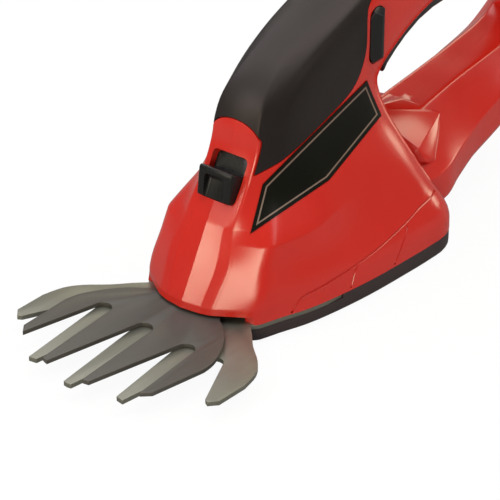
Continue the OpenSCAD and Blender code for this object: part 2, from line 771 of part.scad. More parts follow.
module pinion() {
    color("goldenrod") from_tip() translate([0, motor_y, gear_z - 0.2])
        rotate([0, 0, -90]) spur_gear(pinion_teeth, gear_w + 0.4, motor_shaft_r, pinion_addendum);
}

module motor_shaft() {
    color("silver") from_tip() translate([0, motor_y, gear_z - 0.6])
        cylinder(h = plate_top + motor_len + end_cap_h - gear_z - 1, r = motor_shaft_r);
}

module motor_can() {
    color("gray") from_tip() translate([0, motor_y, plate_top]) difference() {
        union() {
            cylinder(h = motor_len, r = motor_r);
            translate([0, 0, -motor_boss_h]) cylinder(h = motor_boss_h, r = motor_boss_r);
        }
        translate([0, 0, -far / 2]) cylinder(h = far, r = motor_shaft_r + run_fit);
        for (x = [-1, 1]) translate([x * motor_screw_x, 0, -1]) cylinder(h = 5, r = screw_r);
    }
}

module motor_end_cap() {
    color("black") from_tip() translate([0, motor_y, plate_top + motor_len]) difference() {
        union() {
            cylinder(h = end_cap_h, r = end_cap_r);
            for (x = [-terminal_x, terminal_x]) translate([x - 1.4, 4, 0]) cube([2.8, 0.6, end_cap_h + 3]);
        }
        translate([0, 0, -1]) cylinder(h = end_cap_h, r = motor_shaft_r + run_fit);
    }
}

module motor_screws() {
    color("silver") from_tip() both_sides()
        translate([motor_screw_x, motor_y, plate_z]) screw(plate_t + 3.5);
}

module motor_leads() {
    first = [motor_y + 5.5, plate_top + motor_len + end_cap_h + 1.5];
    last = [switch_y - 0.8, switch_z + 4];
    sag = 0.12 * (last[0] - first[0]);
    steps = 9;
    route = [for (i = [0:steps])
        let (t = i / steps, p = mix(first, last, t))
        [terminal_x, p[0], p[1] - sag * sin(180 * t)]];
    color("crimson") from_tip() both_sides() wire(route, lead_r, 8, [1, 0, 0]);
}

// The knob with its finger hook, the guide flange and the catch bar in front of the pivot post
module release_slide() {
    knob_z = -window_len / 2 + side_gap;
    post = [pivot_y - post_head_r - slide_y, post_top_z - slide_z];
    lift = post[1] * sin(front_slope) + post[0] * cos(front_slope);
    catch_y = post[0] * sin(front_slope) - post[1] * cos(front_slope) - catch_gap;
    catch_bottom = lift - (post_top_z - catch_end) / sin(front_slope);
    flange_back = front_y(ledge_z) + flange_y / sin(front_slope);
    color("black") from_tip() translate([-ledge_hw, flange_back, ledge_z - ledge_t])
        cube([2 * ledge_hw, slide_spring_y + ledge_reach - flange_back, ledge_t]);
    color("black") from_tip() slide_frame() {
        difference() {
            translate([-knob_w / 2, -knob_rise, knob_z]) cube([knob_w, knob_rise + flange_y, knob_len]);
            translate([-knob_w / 2 + 3, -knob_rise - 6.5, knob_z - 2])
                rotate([0, 90, 0]) translate([-knob_len / 2 - 1, 0, 0]) cylinder(h = knob_w - 6, r = 9);
        }
        translate([-flange_hw, flange_y, flange_bottom])
            cube([2 * flange_hw, flange_t, flange_top - flange_bottom]);
        translate([-catch_hw, flange_y, flange_bottom]) cube([2 * catch_hw, catch_y - flange_y, 8]);
        translate([-catch_hw, catch_y - catch_t, catch_bottom])
            cube([2 * catch_hw, catch_t, flange_bottom + 8 - catch_bottom]);
    }
}

module slide_spring() {
    color("silver") from_tip() translate([0, slide_spring_y, ledge_z])
        coil(slide_spring_r, slide_spring_len, 0.35, 6);
}

module lock_button() {
    color("black") from_tip() {
        button_block(button_flange_x - button_flange_t, handle_hw + button_rise, 0);
        button_block(button_flange_x - button_flange_t, button_flange_x, button_flange_margin);
        translate([0, button_y, button_z]) across(button_stem_x, button_flange_x, button_stem_r);
    }
}

module lock_spring() {
    color("silver") from_tip() translate([button_stem_x, button_y, button_z]) rotate([0, -90, 0])
        coil(lock_spring_r, lock_spring_len, 0.35, 6);
}

module trigger() {
    color("black") from_tip() difference() {
        union() {
            side_slab(trigger_edge, -trigger_hw, trigger_hw);
            translate([0, trigger_pivot[0], trigger_pivot[1]]) across(-trigger_hw, trigger_hw, trigger_hub_r);
        }
        translate([0, trigger_pivot[0], trigger_pivot[1]]) across(-far, far, trigger_pin_r + run_fit);
        translate([0, trigger_spring_y, trigger_spring_z]) cylinder(h = far, r = trigger_spring_r + 0.8);
    }
}

module trigger_pin() {
    color("silver") from_tip() translate([0, trigger_pivot[0], trigger_pivot[1]])
        across(-trigger_pin_half, trigger_pin_half, trigger_pin_r);
}

module trigger_spring() {
    color("silver") from_tip() translate([0, trigger_spring_y, trigger_spring_z])
        coil(trigger_spring_r, trigger_spring_len, 0.35, 6);
}

module micro_switch() {
    color("black") from_tip() translate([-switch_size[0] / 2, switch_y, switch_z]) {
        cube(switch_size);
        translate([(switch_size[0] - plunger_w) / 2, plunger_y - switch_y, -plunger_len])
            cube([plunger_w, plunger_w, plunger_len + 0.5]);
    }
}

module battery_cells() {
    color("steelblue") from_tip() cell_frame() for (x = [-1, 1])
        translate([x * cell_pitch / 2, 0, 0]) rotate([-90, 0, 0]) {
            cylinder(h = cell_len - 1.5, r = cell_r);
            cylinder(h = cell_len, r = 3);
        }
}

module cell_tray() {
    color("white") from_tip() cell_frame() difference() {
        translate([-tray_hw, -tray_end_t - strip_t, -cell_r - tray_floor])
            cube([2 * tray_hw, cell_len + 2 * tray_end_t + 2 * strip_t, cell_r + tray_floor - 1.5]);
        translate([-far, -strip_t, -strip_h / 2 - 0.2]) cube([2 * far, cell_len + 2 * strip_t, far]);
        for (x = [-1, 1]) translate([x * cell_pitch / 2, -strip_t, 0]) rotate([-90, 0, 0])
            cylinder(h = cell_len + 2 * strip_t, r = cell_r + seat_gap);
    }
}

module cell_strips() {
    color("gainsboro") from_tip() cell_frame() {
        for (x = [-1, 1]) translate([x * cell_pitch / 2 - strip_h / 2, -strip_t, -strip_h / 2])
            cube([strip_h, strip_t, strip_h]);
        translate([-cell_pitch / 2 - strip_h / 2, cell_len, -strip_h / 2])
            cube([cell_pitch + strip_h, strip_t, strip_h]);
    }
}

module circuit_board() {
    color("darkgreen") from_tip() translate([-board_hw, board_start_y, jack_z - jack_body_r - board_t])
        cube([2 * board_hw, board_len, board_t]);
}

module charge_socket() {
    color("black") from_tip() translate([0, jack_mouth_y - jack_len, jack_z]) difference() {
        union() {
            rotate([-90, 0, 0]) cylinder(h = jack_len, r = jack_body_r);
            translate([-4, 1, -jack_body_r]) cube([8, 6, jack_body_r]);
        }
        translate([0, jack_len - jack_hole_len, 0]) rotate([-90, 0, 0]) cylinder(h = far, r = jack_r);
    }
}

module charge_lamp() {
    color("lightgreen") from_tip() translate([0, lamp_y, lamp_z]) rotate([-90, 0, 0]) {
        cylinder(h = lamp_len, r = lamp_r);
        cylinder(h = lamp_flange_t, r = lamp_flange_r);
    }
}

module housing_screws() {
    color("silver") from_tip() for (p = housing_screw_points)
        translate([-screw_seat_x, p[0], p[1]]) rotate([0, 90, 0]) screw(screw_seat_x + screw_half_len);
}

module sole_screws() {
    color("silver") from_tip() both_sides() for (p = sole_screw_points)
        translate([p[0], p[1], sole_head_depth]) screw(sole_screw_len - sole_head_depth);
}

housing_left();
housing_right();
soft_grip();
badge_left();
badge_right();
sole_plate();
fixed_blade();
moving_blade();
blade_pivot();
pivot_washer();
drive_gear();
gear_shaft();
eccentric_pin();
eccentric_roller();
shaft_bush();
shaft_circlip();
gear_plate();
plate_screws();
pinion();
motor_can();
motor_end_cap();
motor_shaft();
motor_screws();
motor_leads();
release_slide();
slide_spring();
lock_button();
lock_spring();
trigger();
trigger_pin();
trigger_spring();
micro_switch();
battery_cells();
cell_tray();
cell_strips();
circuit_board();
charge_socket();
charge_lamp();
housing_screws();
sole_screws();
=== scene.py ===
import math

import bpy
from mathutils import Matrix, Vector


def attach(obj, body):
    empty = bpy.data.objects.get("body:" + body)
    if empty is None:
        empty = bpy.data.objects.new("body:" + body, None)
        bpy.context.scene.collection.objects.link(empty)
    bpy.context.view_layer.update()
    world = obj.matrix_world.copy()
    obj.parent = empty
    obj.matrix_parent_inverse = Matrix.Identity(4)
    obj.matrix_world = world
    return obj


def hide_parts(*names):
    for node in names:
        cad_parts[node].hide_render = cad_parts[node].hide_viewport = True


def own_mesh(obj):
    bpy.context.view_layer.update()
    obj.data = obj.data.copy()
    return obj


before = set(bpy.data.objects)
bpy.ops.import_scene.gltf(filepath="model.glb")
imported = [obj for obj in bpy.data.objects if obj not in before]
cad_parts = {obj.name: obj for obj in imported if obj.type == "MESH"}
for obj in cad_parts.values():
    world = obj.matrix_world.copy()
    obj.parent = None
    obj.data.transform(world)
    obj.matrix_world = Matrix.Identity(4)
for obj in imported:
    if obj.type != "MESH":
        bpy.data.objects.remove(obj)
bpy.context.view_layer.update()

# Lengths below are in millimetres on the drawing, whose Y starts at the middle tooth's tip.
MM = 0.001
MIDDLE_Y = 164

# Body sections from the base up the column and round the handle to the butt: front y, front z, rear y,
# rear z, half width, flat half width, share of the oval, crispness of the front ridges
BODY_SECTIONS = [
    (65, 8, 206, 8, 44.5, 13.8, 0, 1),
    (70.2, 18, 205, 18, 43.4, 14.7, 0, 1),
    (76.9, 30, 200, 30, 37, 15.9, 0.1, 1),
    (85.4, 45, 193.5, 45, 30, 12.6, 0.3, 1),
    (94.5, 60, 188, 60, 22.5, 12, 0.6, 1),
    (100, 71, 185.5, 70, 19, 12, 0.85, 1),
    (101, 80, 185.5, 75.5, 17.9, 11.5, 1, 1),
    (105.2, 90, 187.5, 79, 17.5, 10.5, 1, 0.9),
    (116, 100, 192, 83, 17.5, 8.5, 1, 0.5),
    (132.5, 109, 198.5, 87.3, 17.5, 7.5, 1, 0.1),
    (152, 117, 207, 92, 17.5, 7, 1, 0),
    (175.5, 126, 218, 96, 17.5, 7, 1, 0),
    (204, 133.4, 231, 98.3, 17.5, 7.5, 1, 0),
    (236, 137, 245, 98.7, 17.5, 8, 1, 0),
    (266, 133.5, 260, 96.5, 17.5, 8, 1, 0),
    (291, 122.5, 275, 91, 17.5, 8, 1, 0),
    (309, 106, 286, 84, 17.5, 8, 1, 0),
    (321, 87, 292, 76, 17, 8, 1, 0),
    (324.5, 72, 295, 67, 15, 7, 1, 0),
    (320, 58, 300, 60, 12.6, 6, 1, 0)]
# Half outlines of a section: share of the way from front to rear, share of the half width
IRON = [(0, 0), (0.012, 0.27), (0.05, 0.495), (0.09, 0.65), (0.184, 0.745), (0.284, 0.845), (0.404, 0.915),
        (0.54, 0.965), (0.69, 0.99), (0.8, 1), (0.887, 0.985), (0.95, 0.865), (0.986, 0.56), (1, 0)]
OVAL = [(0, 0), (0.015, 0.5), (0.065, 0.77), (0.14, 0.91), (0.23, 0.98), (0.33, 1), (0.44, 1), (0.55, 1),
        (0.66, 0.99), (0.76, 0.96), (0.85, 0.88), (0.92, 0.74), (0.975, 0.46), (1, 0)]
# Points of a half outline: the ridge beside the front panel and the corner to the flank, with their rounds
RIDGE, CORNER = 1, 3
RIDGE_ROUND = 0.9
RIDGE_FROM, RIDGE_TO = 0.9, 1.1
CORNER_SHARE = 0.26
ROUND_SHARE = 0.4
LEAST_HALF_WIDTH = 0.5
# Rows over which the front panel starts to swell, spacing of the rows, and rows beside a sharp crease
SWELL_ROWS = (3.4, 5)
ROW_SPACING = 3
SHARP_STEP, SHARP_CLEAR = 0.045, 0.1

# Shoulder crease round the lower body: it stands out, climbs to the rear and fades there
CREASE_ROW = 2.567
CREASE_Z = 38.5
CREASE_CLIMB, CREASE_CLIMB_Y = 4, (100, 140)
CREASE_PULL_ROWS = 1.3
CREASE_ROW_HEIGHT = 15
CREASE_BAND = (10, 60)
CREASE_LAST_ROW = 5
CREASE_REACH_DOWN, CREASE_REACH_UP = 27, 14
CREASE_OUT, CREASE_FADE_Y = 4.4, (108, 152)
CREASE_FORWARD, FORWARD_FADE_Y = 2, (90, 120)

# Relief of the front: a crown, creases across it below and above the window (height, how far out, reach
# down, reach up), a strip between the middle panel and the ridge below the lower crease, and an upright
# lip along the lower edge
FRONT_ROWS, TOP_FRONT_ROW = 7, 9
FRONT_CROWN = 0.3
FRONT_CREASES = [(43.5, 0.6, 20, 14), (71, 0.5, 11, 8)]
STRIP_STEP, STRIP_BACK, STRIP_FADE_Z = 0.62, 0.19, (47, 42)
LIP_Z, LIP_BACK, LIP_FADE_STEPS = 13.8, 0.27, (2.5, 5)

# Arm sections: y, low z, low half width, side x, side z, wide x, wide z, top half width, top z
ARM_SECTIONS = [
    (178, 9, 20, 30, 14, 31, 28, 12, 45),
    (206, 8.5, 22, 31.5, 14, 31, 28, 11, 47),
    (225, 9.6, 20, 26, 16, 26.5, 31, 10.5, 50),
    (245, 13, 17, 21.5, 20, 23, 36, 10, 53),
    (270, 20.5, 16, 20.5, 27, 22, 44, 10, 56.5),
    (295, 32, 15, 19.5, 38, 21, 51, 10, 62),
    (312, 42, 14, 18.5, 48, 20, 61, 10, 76),
    (322, 50.5, 13, 17.5, 56, 18.5, 66, 9, 79),
    (328, 58, 9, 13, 61, 14, 66, 7, 72)]
ARM_ROUNDS = (2.5, 2.2, 0.9, 1.6)
ARM_STEPS = 5
# Corners of the left half of the facets that lead from the flanks to the arm: x, y, z
GUSSET = [(1.4, 214.3, 50.3), (16.6, 220.8, 45.6), (17.4, 220.3, 43.8), (24.1, 195.5, 40.7),
          (27, 203.3, 34.2), (27.3, 196.1, 35.2), (26, 206, 29), (0.3, 224, 48.2), (10, 229, 43),
          (0.3, 190, 54), (20, 190, 34), (12, 215, 30)]

# Walls, layers and clearances
WALL, HANDLE_WALL_MORE, CAVITY_DROP = 2.5, 1, 8
BOSS_SINK, HANDLE_SINK_MORE = 2.1, 0.8
GRIP_DEPTH, GRIP_SEAT, GRIP_GAP = 1.5, 0.1, 0.4
BADGE_RISE, BADGE_SEAT, BADGE_GAP = 0.35, 0.9, 0.15
LINE_RISE, LINE_INSETS = 0.45, (1.35, 1.95)
OVER_SURFACE = 1
SEAM_HALF = 0.012
# Reach of a cut that goes right through, and the y and z of a box that holds the whole part
FAR = 90
ROOM_LOW, ROOM_HIGH = (0, -20), (400, 200)

# Side view outlines: y, z
GRIP_EDGE = [(99, 63), (112, 67), (125, 71), (148, 78), (157, 82), (162, 88), (165, 97), (165.3, 110),
             (168, 115.5), (175, 119), (190, 120.5), (206, 122), (236, 124), (262, 121), (284, 111.5),
             (297, 100), (304, 90)]
GRIP_OUTSIDE = [(348, 97), (328, 157), (95, 157), (80, 117), (80, 63)]
# Red tongue of the front that runs up into the grip
TONGUE_HALF_WIDTH, TONGUE_LOW, TONGUE_TOP, TONGUE_ARCH = 12.6, 40, 83, 8
TONGUE_Y, TONGUE_DEPTH = 30, 85
# Badge outlines on a plane that faces the left flank from ahead and above: across, up
BADGE_EDGE = [(0.24, 6.64), (5.15, 26.2), (48.4, 70), (54.96, 56.4), (32.2, 28.5)]
FAR_BADGE = [(19.5, 40.7), (48.4, 70), (54.96, 56.4), (32.2, 28.5), (18.8, 19.3)]
BADGE_FACE = Vector((0.5552, -0.6718, 0.4902))
BADGE_ACROSS = Vector((0.7708, 0.637, 0))
BADGE_UP = BADGE_FACE.cross(BADGE_ACROSS)
BADGE_MIDDLE = Vector((0, 111.05, 18.76))
BADGE_DEPTHS = (60, -14)
TRIGGER_EDGE = [(188.2, 74.5), (190.6, 78), (196.5, 82.4), (203.5, 86.6), (212.5, 90.6), (222.5, 93),
                (234, 94), (243, 94.4), (246.5, 96.5), (247, 101), (243, 104), (231, 104.6), (214, 102),
                (203, 100), (195, 96), (189, 88), (186.6, 82)]
TRIGGER_HALF, TRIGGER_SLOT_HALF = 10, 10.4
TRIGGER_PIN_Y, TRIGGER_PIN_Z, PIN_BORE, HUB_RADIUS = 199, 96, 1.54, 4
TRIGGER_SLOT = [(184, 70), (196, 76), (251, 88), (251, 106), (228, 107.5), (210, 106), (196, 99), (184, 90)]
GROOVE = [(94, 6), (98.4, 12), (101.8, 14.4), (111, 15.7), (123.9, 17.2), (143.8, 19.6), (165.4, 23.2),
          (176.8, 25.5), (190.5, 26.8)]
GROOVE_BRANCHES = [[(131.6, 17.9), (129, 15), (125.6, 7)], [(165, 21.8), (158.5, 15.8), (151.8, 7)]]
GROOVE_RADIUS, BRANCH_RADIUS = 0.6, 0.5

# Slope of the front and the middle of the slide's window on it
SLIDE_Y, SLIDE_Z = 94.34, 59.7
SLOPE_UP = Vector((0, 22.7, 41)).normalized()
SLOPE_IN = Vector((0, SLOPE_UP.z, -SLOPE_UP.y))
# Corners on the slope: x, depth into the body, up the slope
WINDOW_LOW, WINDOW_HIGH, WINDOW_ROUND = (-9, -30, -10), (9, 4.4, 10), 2.2
PLATE_LOW, PLATE_HIGH = (-9.5, 3.4, -17.6), (9.5, 6.4, 13)
NOTCH_LOW, NOTCH_HIGH = (-3.4, 3, 9.6), (3.4, 7, 14)
RELIEF_LOW, RELIEF_HIGH = (-3.4, 4.8, 3), (3.4, 7, 14)
CATCH_LOW, CATCH_HIGH = (-5, 5.4, -17), (5, 11.5, -9.6)
CATCH_BAR_LOW, CATCH_BAR_HIGH = (-5, 7.5, -48.6), (5, 11.5, -9.6)
# Outlines on the slope: depth, up
KNOB_SIDE = [(4.4, -9.8), (-2.4, -9.8), (-6.6, 0.9), (-6.6, 2.6), (4.4, 2.6)]
SCOOP_SIDE = [(-14, -0.5), (-1.8, -0.5), (-0.8, -14), (-14, -14)]
KNOB_HALF, SCOOP_HALF = 8.6, 5.2

# Screws, socket and lamp
BOSS_RADIUS, SCREW_RADIUS, SCREW_SEAT, SCREW_WELL = 4.1, 1.52, 9, 3.05
SCREW_BORE_FROM, SCREW_BORE_TO = -1, 10
SCREW_POINTS = [(111, 42), (172, 31), (172, 56), (128, 95), (254, 119), (298, 95), (285, 37)]
SOLE_SCREWS = [(32.9, 132), (34, 182)]
BUTT_FROM, BUTT_TO = 310, 340
SOCKET_Z, SOCKET_HOLE = 63.5, 5.6
LAMP_Z, LAMP_HOLE = 79, 2.6

# Lock button: its stadium outline, then its roof from above (y, x) and its ends from the front (x, z)
BUTTON_Y, BUTTON_Z = 172, 100
BUTTON_HALF_WIDTH, BUTTON_HALF_LENGTH = 4.75, 12.5
BUTTON_GAP, BUTTON_FLANGE = 0.4, 1.6
KEY_OUTLINE_X, KEY_BASE_X, KEY_FLANGE_X, KEY_STEM_X = (10, 24), (12.9, 17.4), (12.1, 13.6), (-4, 13)
KEY_STEM_RADIUS = 3
KEY_TOP = [(-4.75, 12.9), (-4.75, 17.8), (-0.7, 20.5), (0.7, 20.5), (4.75, 17.8), (4.75, 12.9)]
KEY_ENDS = [(12, -12.5), (17.4, -12.5), (20.6, -9), (20.6, 9.5), (17.4, 12.5), (12, 12.5)]
KEY_ENDS_HALF = 8

# Sole plate: how far each layer is set in and its height, then its cuts and the blades' slot in the nose
SOLE_LAYERS = [(1.6, 0), (0.9, 0.35), (0.35, 1.1), (0.1, 2.2), (0.1, 7.9)]
SOLE_WELL_Z = (-3, 3)
SOLE_FRONT_LOW, SOLE_FRONT_HIGH = (-FAR, 40, -5), (FAR, 70, 30)
BLADE_SEAT_LOW, BLADE_SEAT_HIGH = (-FAR, 40, 5.99), (FAR, 122.1, 30)
NOSE_SLOT_LOW, NOSE_SLOT_HIGH = (-FAR, 50, -5), (FAR, 79.5, 11.25)

# Blades: heights, bores, and the outer edges of the half outlines in the top view
PIVOT_Y, CRANK_Y = 88, 112
FIXED_Z, MOVING_Z = (6, 8), (8.05, 10.05)
FIXED_BORE, MOVING_BORE = 4.0, 4.04
BLADE_ROUND = 0.28
GULLET = 4
FIXED_SHOULDER = [(53.9, 42.8), (51.5, 52.5), (46.5, 59.5), (38.5, 66.5), (32.1, 73.5)]
MOVING_SHOULDER = [(39.3, 41.5), (38, 48.5), (33.5, 57.5), (28, 64.8), (21.5, 70.3), (17.5, 73), (14.5, 79),
                   (12.5, 88), (11, 97), (8.6, 102)]
FIXED_EDGE_Y, FIXED_EDGE_INSET = (78, 118), 0.2
REST_SWING = math.radians(-3.5)
SLOT_Y, SLOT_RADIUS = (CRANK_Y - 1, CRANK_Y + 3.45), 5.3

# Springs: name, joint, y, low z, high z, radius, share that is left
LEDGE_LOW, LEDGE_HIGH = (-4, 103, 62.5), (4, 114.5, 64.5)
POCKET_Y, POCKET_Z, POCKET_TOP, POCKET_RADIUS = 234, 103, 120, 3.9
SPRINGS = [("slide", "slide_lift", 109.54, LEDGE_HIGH[2], 77, 2, 0.48),
           ("trigger", "trigger_press", POCKET_Y, POCKET_Z, 113.2, 2.4, 0.62)]
SPRING_TURNS, SPRING_WIRE = 6, 0.35


# Drawing helpers

def spline(points, t):
    """A smooth curve through points of any dimension, which passes point i at t = i."""
    last = len(points) - 1
    i = min(max(int(math.floor(t)), 0), last - 1)
    f = t - i
    a, b, c, d = (points[min(max(k, 0), last)] for k in (i - 1, i, i + 1, i + 2))
    return [0.5 * (2 * q + (r - p) * f + (2 * p - 5 * q + 4 * r - s) * f ** 2
                   + (3 * q - p - 3 * r + s) * f ** 3)
            for p, q, r, s in zip(a, b, c, d)]


def smooth_line(points, steps):
    """The points of an open line, with smooth steps between them."""
    last = len(points) - 1
    return [spline(points, i / steps) for i in range(last * steps + 1)]


def mix(a, b, t):
    """The value at a share of the way from a to b."""
    return a + (b - a) * t


def rounded(a, corner, b, f):
    """A point on the round from a to b that a corner draws out."""
    return a * (1 - f) ** 2 + corner * 2 * f * (1 - f) + b * f ** 2


def steps_between(start, end, count):
    """Even steps from start up to, but without, end."""
    return [start + (end - start) * i / count for i in range(count)]


def turn_angles(count):
    """Even angles round a full turn."""
    return [2 * math.pi * i / count for i in range(count)]


def ramp(x, start, end):
    """Smooth change from 0 at start to 1 at end."""
    t = min(max((x - start) / (end - start), 0), 1)
    return t * t * (3 - 2 * t)


def at(x, y, z):
    """Drawing place as a place in the scene."""
    return Vector((x, y - MIDDLE_Y, z)) * MM


def on_slope(x, depth, up):
    """Place beside the middle of the slide's window: depth goes into the body, up goes up the slope."""
    return Vector((x, SLIDE_Y, SLIDE_Z)) + SLOPE_IN * depth + SLOPE_UP * up


# Modelling helpers

def start_piece(name):
    """Names the primitive that has just been added and returns it."""
    piece = bpy.context.object
    piece.name = name
    piece.data.name = name
    return piece


def edit(piece):
    """Opens the piece alone in edit mode with everything selected."""
    bpy.ops.object.select_all(action="DESELECT")
    bpy.context.view_layer.objects.active = piece
    piece.select_set(True)
    bpy.ops.object.mode_set(mode="EDIT")
    bpy.ops.mesh.select_all(action="SELECT")


def close(piece):
    """Merges doubles, fills open ends and turns the faces outwards."""
    edit(piece)
    bpy.ops.mesh.remove_doubles(threshold=0.000001)
    bpy.ops.mesh.select_all(action="SELECT")
    bpy.ops.mesh.fill_holes(sides=0)
    bpy.ops.mesh.select_all(action="SELECT")
    bpy.ops.mesh.normals_make_consistent(inside=False)
    bpy.ops.object.mode_set(mode="OBJECT")
    return piece


def loft(name, rings):
    """A closed solid through closed rings of drawing points."""
    around = len(rings[0])
    bpy.ops.object.select_all(action="DESELECT")
    bpy.ops.mesh.primitive_grid_add(x_subdivisions=around, y_subdivisions=len(rings) - 1)
    piece = start_piece(name)
    for row, ring in enumerate(rings):
        for column in range(around + 1):
            piece.data.vertices[row * (around + 1) + column].co = at(*ring[column % around])
    return close(piece)


def prism(name, outline, along):
    """A solid from a closed outline of drawing points, pushed along a vector."""
    bpy.ops.object.select_all(action="DESELECT")
    bpy.ops.mesh.primitive_circle_add(vertices=len(outline), fill_type="NGON")
    piece = start_piece(name)
    for vertex, point in zip(piece.data.vertices, outline):
        vertex.co = at(*point)
    edit(piece)
    bpy.ops.mesh.extrude_region_move(TRANSFORM_OT_translate={"value": Vector(along) * MM})
    bpy.ops.mesh.select_all(action="SELECT")
    bpy.ops.mesh.normals_make_consistent(inside=False)
    bpy.ops.object.mode_set(mode="OBJECT")
    return piece


def side_prism(name, outline, x0, x1):
    """A solid with a side view outline, across the body from x0 to x1."""
    return prism(name, [(x0, y, z) for y, z in outline], (x1 - x0, 0, 0))


def flat_prism(name, outline, z0, z1):
    """A solid with a top view outline, between two heights."""
    return prism(name, [(x, y, z0) for x, y in outline], (0, 0, z1 - z0))


def block(name, low, high):
    """A box between two corners of the drawing."""
    outline = [(low[0], low[1]), (high[0], low[1]), (high[0], high[1]), (low[0], high[1])]
    return flat_prism(name, outline, low[2], high[2])


def slope_block(name, low, high):
    """A box in the frame of the front slope: x, depth, up."""
    corners = [(low[0], low[2]), (high[0], low[2]), (high[0], high[2]), (low[0], high[2])]
    return prism(name, [on_slope(x, low[1], up) for x, up in corners], SLOPE_IN * (high[1] - low[1]))


def rod(name, start, end, radius, sides=32):
    """A straight round bar between two drawing points."""
    axis = Vector(end) - Vector(start)
    turn = axis.to_track_quat("Z", "Y")
    ring = [Vector(start) + turn @ Vector((radius * math.cos(a), radius * math.sin(a), 0))
            for a in turn_angles(sides)]
    return prism(name, ring, axis)


def apply(piece, kind, **settings):
    """Adds a modifier with its settings and applies it."""
    modifier = piece.modifiers.new(kind.lower(), kind)
    for key, value in settings.items():
        setattr(modifier, key, value)
    bpy.ops.object.select_all(action="DESELECT")
    bpy.context.view_layer.objects.active = piece
    piece.select_set(True)
    bpy.ops.object.modifier_apply(modifier=modifier.name)
    return piece


def combine(piece, tool, operation="DIFFERENCE", keep=False):
    """Cuts a tool from a piece, or joins or intersects them, and removes the tool."""
    apply(piece, "BOOLEAN", object=tool, operation=operation, solver="MANIFOLD")
    if not keep:
        bpy.data.objects.remove(tool)
    return piece


def copy(piece, name):
    """A copy with its own mesh."""
    twin = piece.copy()
    twin.data = piece.data.copy()
    twin.name = name
    twin.data.name = name
    bpy.context.scene.collection.objects.link(twin)
    return twin


def flip(piece):
    """Mirrors a mesh to the other side of the mid plane."""
    for vertex in piece.data.vertices:
        vertex.co.x = -vertex.co.x
    edit(piece)
    bpy.ops.mesh.flip_normals()
    bpy.ops.object.mode_set(mode="OBJECT")
    return piece


def bevel(piece, width, segments=2, angle=35):
    """Rounds the edges that are sharper than an angle."""
    return apply(piece, "BEVEL", width=width * MM, segments=segments, limit_method="ANGLE",
                 angle_limit=math.radians(angle), harden_normals=False)


def settle(piece, body, slot, material, *nodes, angle=28):
    """Smooths the piece, gives it its finish and its body, and hides the solids that it stands for."""
    bpy.ops.object.select_all(action="DESELECT")
    bpy.context.view_layer.objects.active = piece
    piece.select_set(True)
    bpy.ops.object.shade_smooth_by_angle(angle=math.radians(angle))
    piece.data.materials.clear()
    piece.data.materials.append(material)
    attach(piece, body)
    if nodes:
        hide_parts(*nodes)
    return piece


# Finishes

def new_finish(name):
    """A material with its shader, its place on the piece, and functions that add and link nodes."""
    material = bpy.data.materials.new(name)
    material.use_nodes = True
    tree = material.node_tree
    shader = tree.nodes["Principled BSDF"]
    place = tree.nodes.new("ShaderNodeTexCoord")

    def add(kind, inputs=None, **settings):
        node = tree.nodes.new(kind)
        for key, value in settings.items():
            setattr(node, key, value)
        for key, value in (inputs or {}).items():
            if isinstance(value, bpy.types.NodeSocket):
                tree.links.new(value, node.inputs[key])
            else:
                node.inputs[key].default_value = value
        return node

    def link(source, socket):
        tree.links.new(source, shader.inputs[socket])

    return material, shader, place.outputs["Object"], add, link


def moulded(name, colour, rough, grain, depth, mottle=0.06, spread=0.05, **shader_values):
    """Moulded plastic or rubber: fine grain as bump, slow changes of shade and of gloss."""
    material, shader, place, add, link = new_finish(name)
    slow = add("ShaderNodeTexNoise", {"Vector": place, "Scale": 38, "Detail": 3})
    dark = [c * (1 - mottle) for c in colour] + [1]
    light = [min(c * (1 + mottle), 1) for c in colour] + [1]
    shade = add("ShaderNodeMix", {"Factor": slow.outputs["Fac"], "A": dark, "B": light}, data_type="RGBA")
    link(shade.outputs["Result"], "Base Color")
    gloss = add("ShaderNodeMapRange", {"Value": slow.outputs["Fac"], "From Min": 0.3, "From Max": 0.7,
                                       "To Min": rough - spread, "To Max": rough + spread})
    link(gloss.outputs["Result"], "Roughness")
    fine = add("ShaderNodeTexNoise", {"Vector": place, "Scale": grain, "Detail": 4, "Roughness": 0.65})
    bump = add("ShaderNodeBump", {"Height": fine.outputs["Fac"], "Strength": 0.6, "Distance": depth * MM})
    link(bump.outputs["Normal"], "Normal")
    for key, value in shader_values.items():
        shader.inputs[key.replace("_", " ")].default_value = value
    return material


def metal(name, colour, rough, stretch, depth, metallic=1.0, shades=(0.86, 1.12)):
    """Ground or drawn metal: streaks along one axis in shade, gloss and bump."""
    material, shader, place, add, link = new_finish(name)
    streaks = add("ShaderNodeMapping", {"Vector": place, "Scale": stretch})
    lines = add("ShaderNodeTexNoise", {"Vector": streaks.outputs["Vector"], "Scale": 60, "Detail": 5})
    dark = [c * shades[0] for c in colour] + [1]
    light = [min(c * shades[1], 1) for c in colour] + [1]
    shade = add("ShaderNodeMix", {"Factor": lines.outputs["Fac"], "A": dark, "B": light}, data_type="RGBA")
    link(shade.outputs["Result"], "Base Color")
    gloss = add("ShaderNodeMapRange", {"Value": lines.outputs["Fac"],
                                       "To Min": rough - 0.08, "To Max": rough + 0.1})
    link(gloss.outputs["Result"], "Roughness")
    bump = add("ShaderNodeBump", {"Height": lines.outputs["Fac"], "Strength": 0.4, "Distance": depth * MM})
    link(bump.outputs["Normal"], "Normal")
    shader.inputs["Metallic"].default_value = metallic
    return material


